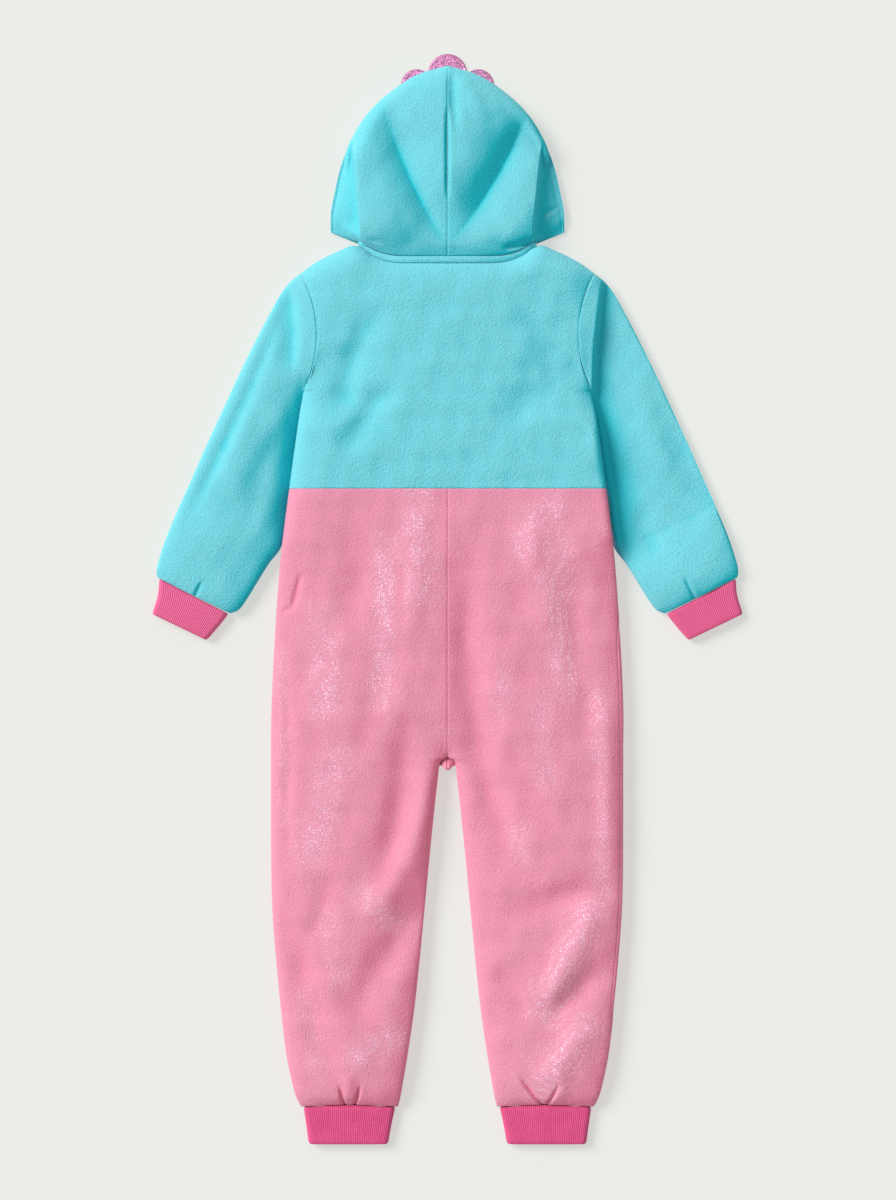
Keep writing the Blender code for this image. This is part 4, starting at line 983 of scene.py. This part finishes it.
def pink_fleece():
    """Pink fleece printed with fine foil specks, each tipped its own way, which grow denser and brighter
    along painted highlight streaks.
    """
    shader = Shader("pink_fleece")
    # The last colour is the painted shade colour
    colour, height = fleece(
        shader, rgb(0.745, 0.240, 0.355), rgb(0.81, 0.288, 0.41), rgb(0.90, 0.238, 0.365)
    )
    cells = shader.cells(430.0, Randomness=0.5)
    chance = shader.add("SeparateColor", {"Color": cells["Color"]}).outputs[0]
    patchy = shader.range(shader.noise(60.0, 2.0, 0.6), 0.35, 0.65, 0.0, 0.4)
    # The foil print's specks, with more and brighter ones along the painted highlight streaks
    foil_and_highlight = shader.range(shader.attribute("foil_and_highlight"), 0.0, 1.0, 0.14, 1.0)
    lit = shader.times(foil_and_highlight, shader.range(chance, 0.0, 1.0, 1.4, 0.6))
    lit = shader.math("SUBTRACT", lit, shader.times(patchy, 0.6), clamp=True)
    speck = shader.times(lit, shader.range(cells["Distance"], 0.22, 0.42, 1.0, 0.0))
    normals = {0: speck, 4: shader.bump(height, 0.0005), 5: shader.tipped(cells["Color"], 0.5)}
    normal = shader.add("Mix", normals, data_type="VECTOR").outputs[1]
    # Painted highlight: a paler pink along the streaks
    colour = shader.mix(shader.times(foil_and_highlight, 0.45), colour, rgb(0.90, 0.43, 0.55))
    shader.set(Base_Color=shader.mix(speck, colour, rgb(1.0, 0.68, 0.80)), Normal=normal)
    shader.set(Metallic=shader.times(speck, 0.3), Roughness=shader.range(speck, 0.0, 1.0, 0.9, 0.45))
    shader.set(Sheen_Weight=0.2, Sheen_Roughness=0.4, Sheen_Tint=rgb(1.0, 0.85, 0.9))
    return shader.material


def rib_knit():
    shader = Shader("rib_knit")
    loops = shader.noise(900.0, 2.0, 0.6)
    share = shader.plus(shader.times(loops, 0.6), shader.times(shader.noise(60.0), 0.4))
    colour = shader.mix(shader.range(share, 0.35, 0.65), rgb(0.78, 0.08, 0.25), rgb(0.94, 0.13, 0.34))
    colour = shader.mix(shader.attribute("tone"), colour, rgb(0.98, 0.19, 0.40))
    # Painted shade in the grooves between ribs and at the rolled ends
    rib_shade = shader.range(shader.attribute("seam"), 0.0, 1.0, 0.0, 0.6)
    colour = shader.mix(rib_shade, colour, rgb(0.42, 0.02, 0.10))
    shader.set(Base_Color=colour, Roughness=0.88, Normal=shader.bump(loops, 0.0005))
    shader.set(Sheen_Weight=0.2, Sheen_Roughness=0.5, Sheen_Tint=rgb(1.0, 0.7, 0.82))
    return shader.material


def glitter():
    """Cloth coated in coarse glitter, its flakes of several pinks tipped every way."""
    shader = Shader("glitter")
    cells = shader.cells(1700.0)
    parts = shader.add("SeparateColor", {"Color": cells["Color"]}).outputs
    colour = shader.mix(parts[1], rgb(0.52, 0.13, 0.33), rgb(0.78, 0.30, 0.54))
    colour = shader.mix(shader.math("GREATER_THAN", parts[0], 0.84), colour, rgb(0.95, 0.62, 0.78))
    # Painted shade: darker towards the crest's rounded edge, by its seam attribute
    colour = shader.mix(shader.attribute("seam"), colour, rgb(0.40, 0.08, 0.24))
    normal = shader.tipped(cells["Color"], 0.8)
    shader.set(Base_Color=colour, Normal=normal, Metallic=0.45, Roughness=0.38)
    return shader.material


def zip_tape():
    shader = Shader("zip_tape")
    weave = shader.noise(1300.0, 1.0, 0.5, shader.stretched((1.0, 2.2, 1.0)))
    colour = shader.mix(weave, rgb(0.55, 0.08, 0.20), rgb(0.85, 0.24, 0.42))
    shader.set(Base_Color=colour, Roughness=0.75, Normal=shader.bump(weave, 0.0003))
    return shader.material


def zip_metal():
    shader = Shader("zip_metal")
    brushed = shader.noise(2600.0, 2.0, 0.6, shader.stretched((1.0, 0.08, 1.0)))
    wear = shader.noise(240.0, 3.0, 0.6)
    colour = shader.mix(shader.range(wear, 0.4, 0.7), rgb(0.80, 0.80, 0.81), rgb(0.62, 0.61, 0.60))
    shader.set(Base_Color=colour, Metallic=1.0, Normal=shader.bump(brushed, 0.00006))
    shader.set(Roughness=shader.range(wear, 0.3, 0.8, 0.22, 0.42))
    return shader.material


def thread():
    shader = Shader("thread")
    twist = shader.noise(1800.0, 1.0)
    colour = shader.mix(twist, rgb(0.10, 0.58, 0.67), rgb(0.25, 0.78, 0.85))
    shader.set(Base_Color=colour, Roughness=0.6, Normal=shader.bump(twist, 0.0002))
    return shader.material


def floor_paper():
    shader = Shader("floor_paper")
    grain = shader.noise(700.0)
    colour = shader.mix(grain, rgb(0.285, 0.287, 0.275), rgb(0.295, 0.298, 0.285))
    shader.set(Base_Color=colour, Roughness=0.9, Normal=shader.bump(grain, 0.0001))
    shader.set(Emission_Color=rgb(1.0, 1.006, 0.96), Emission_Strength=0.53)
    return shader.material


LOOKS = (aqua_fleece, pink_fleece, rib_knit, glitter, zip_tape, zip_metal)
MATERIALS = {look.__name__: look() for look in LOOKS}
THREAD = thread()


# ---------------- pieces

def cloth(node, surface, u, v, slot, flat, area, folds="", **shape):
    """A shell that stands for a node. Its arguments flat and area, the size that it was cut to, are not
    used.
    """
    made = shell("cloth_" + node, surface, u, v, slot, folds=folds, **shape)
    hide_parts(node)
    return made


def leg_grid(surface, step):
    across = spaced(surface, 0, 0.0, 1.0, LEG_LINE_Y, step)
    return across, spaced(surface, 1, HEM_Y, WAIST_Y, HALF_WAY, step)


def make_legs(side, name):
    surface = back_leg(side)
    u, v = leg_grid(surface, BACK_STEP)
    cloth(f"back_leg_{name}", surface, u, v, "pink_fleece", (0.23, 0.70), 0.125, "leg", side=side)
    surface = front_leg(side)
    u, v = leg_grid(surface, FRONT_STEP)
    low, high, step = CROTCH_FINE
    v = np.concatenate([v[v < low - step], np.arange(low, high, step), v[v > high + step]])
    v = v if len(v) % 2 else np.delete(v, np.searchsorted(v, low))
    cloth(f"front_leg_{name}", surface, u, v, "pink_fleece", (0.23, 0.70), 0.125, side=side)


def make_bodice():
    surface = back_bodice(1)
    half = spaced(surface, 0, 0.0, 1.0, BODICE_LINE, BACK_STEP, (False, True))
    u = np.concatenate([-half[:0:-1], half])
    low = spaced(surface, 1, 0.0, 1.0, HALF_WAY, BACK_STEP, (True, False))
    high = spaced(surface, 1, 1.0, 2.0, HALF_WAY, BACK_STEP, (False, True))
    v = np.concatenate([low, high[1:]])
    cloth("back_bodice", whole_back, u, v, "aqua_fleece", (0.36, 0.28), 0.088, "bodice")
    v = np.concatenate([np.linspace(0.0, 1.0, FRONT_ROWS[0])[:-1], np.linspace(1.0, 2.0, FRONT_ROWS[1])])
    for side, name in SIDES:
        surface = front_bodice(side)
        u = spaced(surface, 0, 0.0, 1.0, BODICE_LINE, FRONT_STEP)
        cloth(f"front_bodice_{name}", surface, u, v, "aqua_fleece", (0.18, 0.28), 0.042, side=side)


def make_sleeve(side, name):
    surface = sleeve(side)
    top = spaced(surface, 0, 0.0, math.pi, SLEEVE_LINE, SLEEVE_STEP, (False, False))
    below = spaced(surface, 0, math.pi, 2 * math.pi, SLEEVE_LINE, UNDER_STEP, (False, False))
    u = np.concatenate([top, below[1:-1]])
    v = spaced(surface, 1, SLEEVE_START, SLEEVE[-1].row, math.pi / 2, SLEEVE_STEP)
    shape = {"side": side, "wrap": True, "seams": (0, 0, 1, 1)}
    cloth(f"sleeve_{name}", surface, u, v, "aqua_fleece", (0.30, 0.36), 0.075, "sleeve", **shape)


def make_hood(side, name):
    surface = hood_fan(side)
    top = spaced(surface, 0, 0.0, 1.0, HOOD_LINES[0], HOOD_STEP, (True, False))
    below = spaced(surface, 0, 1.0, 2.0, HOOD_LINES[0], UNDER_STEP, (False, True))
    v = spaced(surface, 1, 0.0, HOOD[-1].k, HOOD_LINES[1], HOOD_STEP)
    u = np.concatenate([top, below[1:]])
    shape = {"side": side, "seams": (1, 0, 0, 1)}
    cloth(f"hood_{name}", surface, u, v, "aqua_fleece", (0.24, 0.28), 0.042, "hood", **shape)


def stadium(share, half, radius):
    """A point and its normal at a share of the way round a flattened ring."""
    straight, end = 2 * (half - radius), math.pi * radius
    way = share % 1.0 * 2 * (straight + end)
    part = [way < straight, way < straight + end, way < 2 * straight + end]
    turn = np.select(
        part,
        [math.pi / 2, math.pi / 2 + (way - straight) / radius, 3 * math.pi / 2],
        -math.pi / 2 + (way - 2 * straight - end) / radius,
    )
    centre = np.select(
        part,
        [half - radius - way, radius - half, radius - half + way - straight - end],
        half - radius,
    )
    normal = np.stack([np.cos(turn), np.sin(turn)], -1)
    return np.stack([centre, 0 * centre], -1) + radius[..., None] * normal, normal


def cuff(node, sections, ribs, side, bow, tone=0.0):
    """A ribbed tube whose ends roll in, over a plain inside."""
    count = ribs * RIB_POINTS
    ring = np.arange(count) / count
    wave = (1 - np.cos(2 * math.pi * ring * ribs)) / 2
    along = np.linspace(0.0, 1.0, CUFF_ROWS)
    ends = ("out_x out_y", "in_x in_y")
    out, inside = (np.stack(columns(sections, names, along[:, None]), -1) for names in ends)
    half = np.linalg.norm(out - inside, axis=-1) / 2
    radius = columns(sections, "thick", along[:, None])[0] / 2

    def tube(inset):
        flat_points, normal = stadium(ring[None], half, radius)
        moved = flat_points - normal * inset[..., None]
        across, up = moved[..., :1], moved[..., 1]
        plan = (out + inside) / 2 + (out - inside) / (2 * half[..., None]) * across
        arch = (1 - (flat_points[..., 0] / half) ** 2) * (flat_points[..., 1] > 0)
        plan[..., 1] += bow * (1 - along[:, None]) ** 2 * arch
        return np.concatenate([plan, (radius + up + CUFF_CROWN * arch)[..., None]], -1)

    length = np.linalg.norm(out[0] - out[-1])
    end = quarter(np.minimum(along, 1 - along) * length, CUFF_EDGE)[:, None]
    outer = tube(RIB_RISE * wave * (1 - end) + end)
    inner = tube(RIB_RISE + RIB_WALL + 0 * outer[..., 0])[::2, ::2]
    points, faces = two_walls(outer, inner, side, True, turned=True)
    # Painted shade in the rib grooves and at the rolled ends
    rib_shade_share = on_outer(np.maximum(wave, end), inner)
    tones = np.full(len(points), tone)
    made = mesh_piece("cloth_" + node, points, faces, "rib_knit", seam=rib_shade_share, tone=tones)
    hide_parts(node)


def stitches(name, path):
    """Short threads lying on a seam: a spindle for each stitch along the path."""
    way = distances(path)
    starts = np.arange(STITCH_PITCH / 2, way[-1] - STITCH_LENGTH, STITCH_PITCH)
    at = starts[:, None] + np.linspace(0.0, STITCH_LENGTH, STITCH_POINTS)[None]
    spine = np.stack([np.interp(at, way, path[:, i]) for i in range(3)], -1)
    bend = np.sin(math.pi * np.linspace(0.0, 1.0, STITCH_POINTS))
    spine[..., 2] += STITCH_RISE * bend**0.5
    ahead = np.gradient(spine, axis=1)
    ahead /= np.linalg.norm(ahead, axis=-1, keepdims=True)
    level = np.cross(ahead, (0.0, 0.0, 1.0))
    level /= np.linalg.norm(level, axis=-1, keepdims=True)
    up = np.cross(level, ahead)
    radius = STITCH_THICK / 2 * np.maximum(bend, STITCH_TAPER) ** 0.5
    turns = (np.arange(STITCH_POINTS) * 2 * math.pi / STITCH_POINTS)[:, None]
    ring = level[..., None, :] * np.cos(turns) + up[..., None, :] * np.sin(turns)
    points = spine[..., None, :] + ring * radius[None, :, None, None]
    index = np.arange(points[..., 0].size).reshape(points.shape[:3])
    caps = np.concatenate([index[:, 0], index[:, -1, ::-1]])
    made = mesh_piece(name, points.reshape(-1, 3), [tube_faces(index), caps], "aqua_fleece")
    made.data.materials[0] = THREAD


def make_neck_tape():
    u = np.linspace(-TAPE_HALF, TAPE_HALF, TAPE_COLUMNS)
    v = np.linspace(*TAPE_ENDS, TAPE_ROWS)
    shape = {"seams": (0, 0, 0, 0), "wall": TAPE_WALL}
    cloth("neck_tape", neck_tape, u, v, "aqua_fleece", (0.196, 0.010), 0.0016, **shape)
    x = np.linspace(-TAPE_LINE_HALF, TAPE_LINE_HALF, 200)
    stitches("stitches_neck", neck_tape(x[None], np.full((1, 200), TAPE_LINE))[0])
    tack = whole_back(np.full((1, 20), TACK_U), np.linspace(*TACK_V, 20)[None])[0]
    stitches("stitches_tack", tack)


def make_crest():
    """Three padded scallops of glitter cloth, sewn down near their edge."""
    outline = []
    for (x, y, radius), (start, stop) in zip(SCALLOPS, SCALLOP_ARCS):
        turn = np.radians(np.linspace(start, stop, SCALLOP_POINTS))
        outline.append(np.stack([x + radius * np.cos(turn), y + radius * np.sin(turn)], -1))
    outline.append(np.array([(-CREST_BASE_HALF, CREST_BASE_Y), (CREST_BASE_HALF, CREST_BASE_Y)]))
    outline = np.concatenate(outline)
    centre = np.array([0.0, CREST_CENTRE_Y])
    shares = np.array(CREST_RINGS)
    plan = centre + (outline - centre)[None] * shares[:, None, None]
    edge = quarter((1 - shares) * CREST_REACH, CREST_EDGE)
    line = CREST_LINE_DEPTH * np.exp(-(((shares - CREST_LINE) / CREST_LINE_WIDTH) ** 2))
    half = CREST_THICK / 2
    rise = (half * (1 - edge) - line)[:, None] + 0 * plan[..., 0]
    top = np.concatenate([plan, (half + rise)[..., None]], -1)
    bottom = np.concatenate([plan, (half - rise)[..., None]], -1)
    grid = np.concatenate([top, bottom[::-1]])
    quads = tube_faces(np.arange(grid[..., 0].size).reshape(1, *grid.shape[:2]))
    shade = np.repeat(np.concatenate([edge, edge[::-1]]), grid.shape[1])
    made = mesh_piece("cloth_crest", grid.reshape(-1, 3), [quads], "glitter", seam=shade)
    work = bmesh.new()
    work.from_mesh(made.data)
    bmesh.ops.remove_doubles(work, verts=work.verts, dist=MERGE * MM)
    bmesh.ops.recalc_face_normals(work, faces=work.faces)
    work.to_mesh(made.data)
    work.free()
    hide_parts("crest")


def make_zip():
    """The zip's tape, and the two rows of teeth that meet along its middle."""
    x = np.linspace(-ZIP_HALF, ZIP_HALF, ZIP_COLUMNS)
    y = np.arange(ZIP_LOW_Y, ZIP_TOP_Y, ZIP_STEP)

    def tape(u, v):
        return np.stack([u, v, lift(0 * u, v) + ZIP_TAPE_FROM + ZIP_TAPE_THICK], -1)

    shape = {"seams": (0, 0, 0, 0), "wall": ZIP_TAPE_THICK}
    made = shell("cloth_front_zip", tape, x, y, "zip_tape", **shape)
    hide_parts("front_zip")
    block = bmesh.new()
    bmesh.ops.create_cube(block, size=1.0)
    bmesh.ops.scale(block, vec=TOOTH_SIZE, verts=block.verts)
    bmesh.ops.bevel(block, geom=block.edges, offset=TOOTH_BEVEL, segments=1, affect="EDGES")
    tooth = np.array([vert.co for vert in block.verts])
    shapes = [[vert.index for vert in face.verts] for face in block.faces]
    block.free()
    places = np.arange(ZIP_LOW_Y + TOOTH_INSET, ZIP_TOP_Y - TOOTH_INSET, TOOTH_PITCH)
    offsets = np.concatenate([places, places + TOOTH_PITCH / 2])
    side = np.repeat([-TOOTH_SIDE, TOOTH_SIDE], len(places))
    height = lift(0 * offsets, offsets) + TOOTH_FROM + TOOTH_SIZE[2] / 2
    shift = np.stack([side, offsets, height], -1)
    points = (tooth[None] + shift[:, None]).reshape(-1, 3)
    faces = []
    for corners in {len(shape) for shape in shapes}:
        group = np.array([shape for shape in shapes if len(shape) == corners])
        first = len(tooth) * np.arange(len(shift))[:, None, None]
        faces.append((group[None] + first).reshape(-1, corners))
    mesh_piece("zip_teeth", points, faces, "zip_tape")


def dress_metal():
    """The slider and its pull keep their solids, with worn edges and brushed metal."""
    for name in ("zip_slider", "zip_pull"):
        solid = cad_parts[name]
        solid.data.materials.clear()
        solid.data.materials.append(MATERIALS["zip_metal"])
        bevel = solid.modifiers.new("edges", "BEVEL")
        bevel.width, bevel.segments, bevel.limit_method = METAL_BEVEL * MM, 2, "ANGLE"


def make_pieces():
    for side, name in SIDES:
        make_legs(side, name)
        make_sleeve(side, name)
        make_hood(side, name)
        cuff(f"wrist_cuff_{name}", WRIST_CUFF, WRIST_RIBS, side, 0.0, WRIST_TONE[name])
        cuff(f"ankle_cuff_{name}", ANKLE_CUFF, ANKLE_RIBS, side, HEM_BOW)
    make_bodice()
    make_neck_tape()
    make_crest()
    make_zip()
    dress_metal()


# ---------------- room

FLOOR_SIZE, FLOOR_CELLS, FLOOR_Z = 9.0, 8, -0.0002
SUN_FROM, SUN_STRENGTH, SUN_SPREAD = (-0.85, 0.55, 0.75), 3.16, 28.0
SKY_COLOUR, SKY_STRENGTH = rgb(0.97, 0.985, 1.0), 0.43
FRAME_HEIGHT, LENS, SENSOR = 1.32, 85.0, 36.0
CAMERA_X, CAMERA_Y, FOCUS_Z = 0.00055, -0.0011, 0.012


def make_light():
    """Even light from the upper left, spread over an angle as from a soft box, and a pale sky."""
    light = bpy.data.lights.new("key", "SUN")
    light.energy, light.angle = SUN_STRENGTH, math.radians(SUN_SPREAD)
    placed("key", light).rotation_euler = Vector(SUN_FROM).to_track_quat("Z", "Y").to_euler()
    world = bpy.data.worlds.new("studio")
    world.use_nodes = True
    sky = world.node_tree.nodes["Background"].inputs
    sky["Color"].default_value, sky["Strength"].default_value = SKY_COLOUR, SKY_STRENGTH
    bpy.context.scene.world = world
    bpy.context.scene.view_settings.view_transform = "Standard"


def make_floor():
    cells = {"x_subdivisions": FLOOR_CELLS, "y_subdivisions": FLOOR_CELLS}
    bpy.ops.mesh.primitive_grid_add(size=FLOOR_SIZE, **cells)
    floor = bpy.context.object
    floor.name = "floor"
    floor.location.z = FLOOR_Z
    floor.data.materials.append(floor_paper())


def make_camera():
    camera = bpy.data.cameras.new("camera")
    camera.lens, camera.sensor_width = LENS, SENSOR
    camera.clip_end = 50.0
    made = placed("camera", camera)
    distance = FRAME_HEIGHT / 2 / (SENSOR / 2 / LENS)
    made.location = (CAMERA_X, CAMERA_Y, FOCUS_Z + distance)
    bpy.context.scene.camera = made


make_camera()
make_floor()
make_light()
make_pieces()
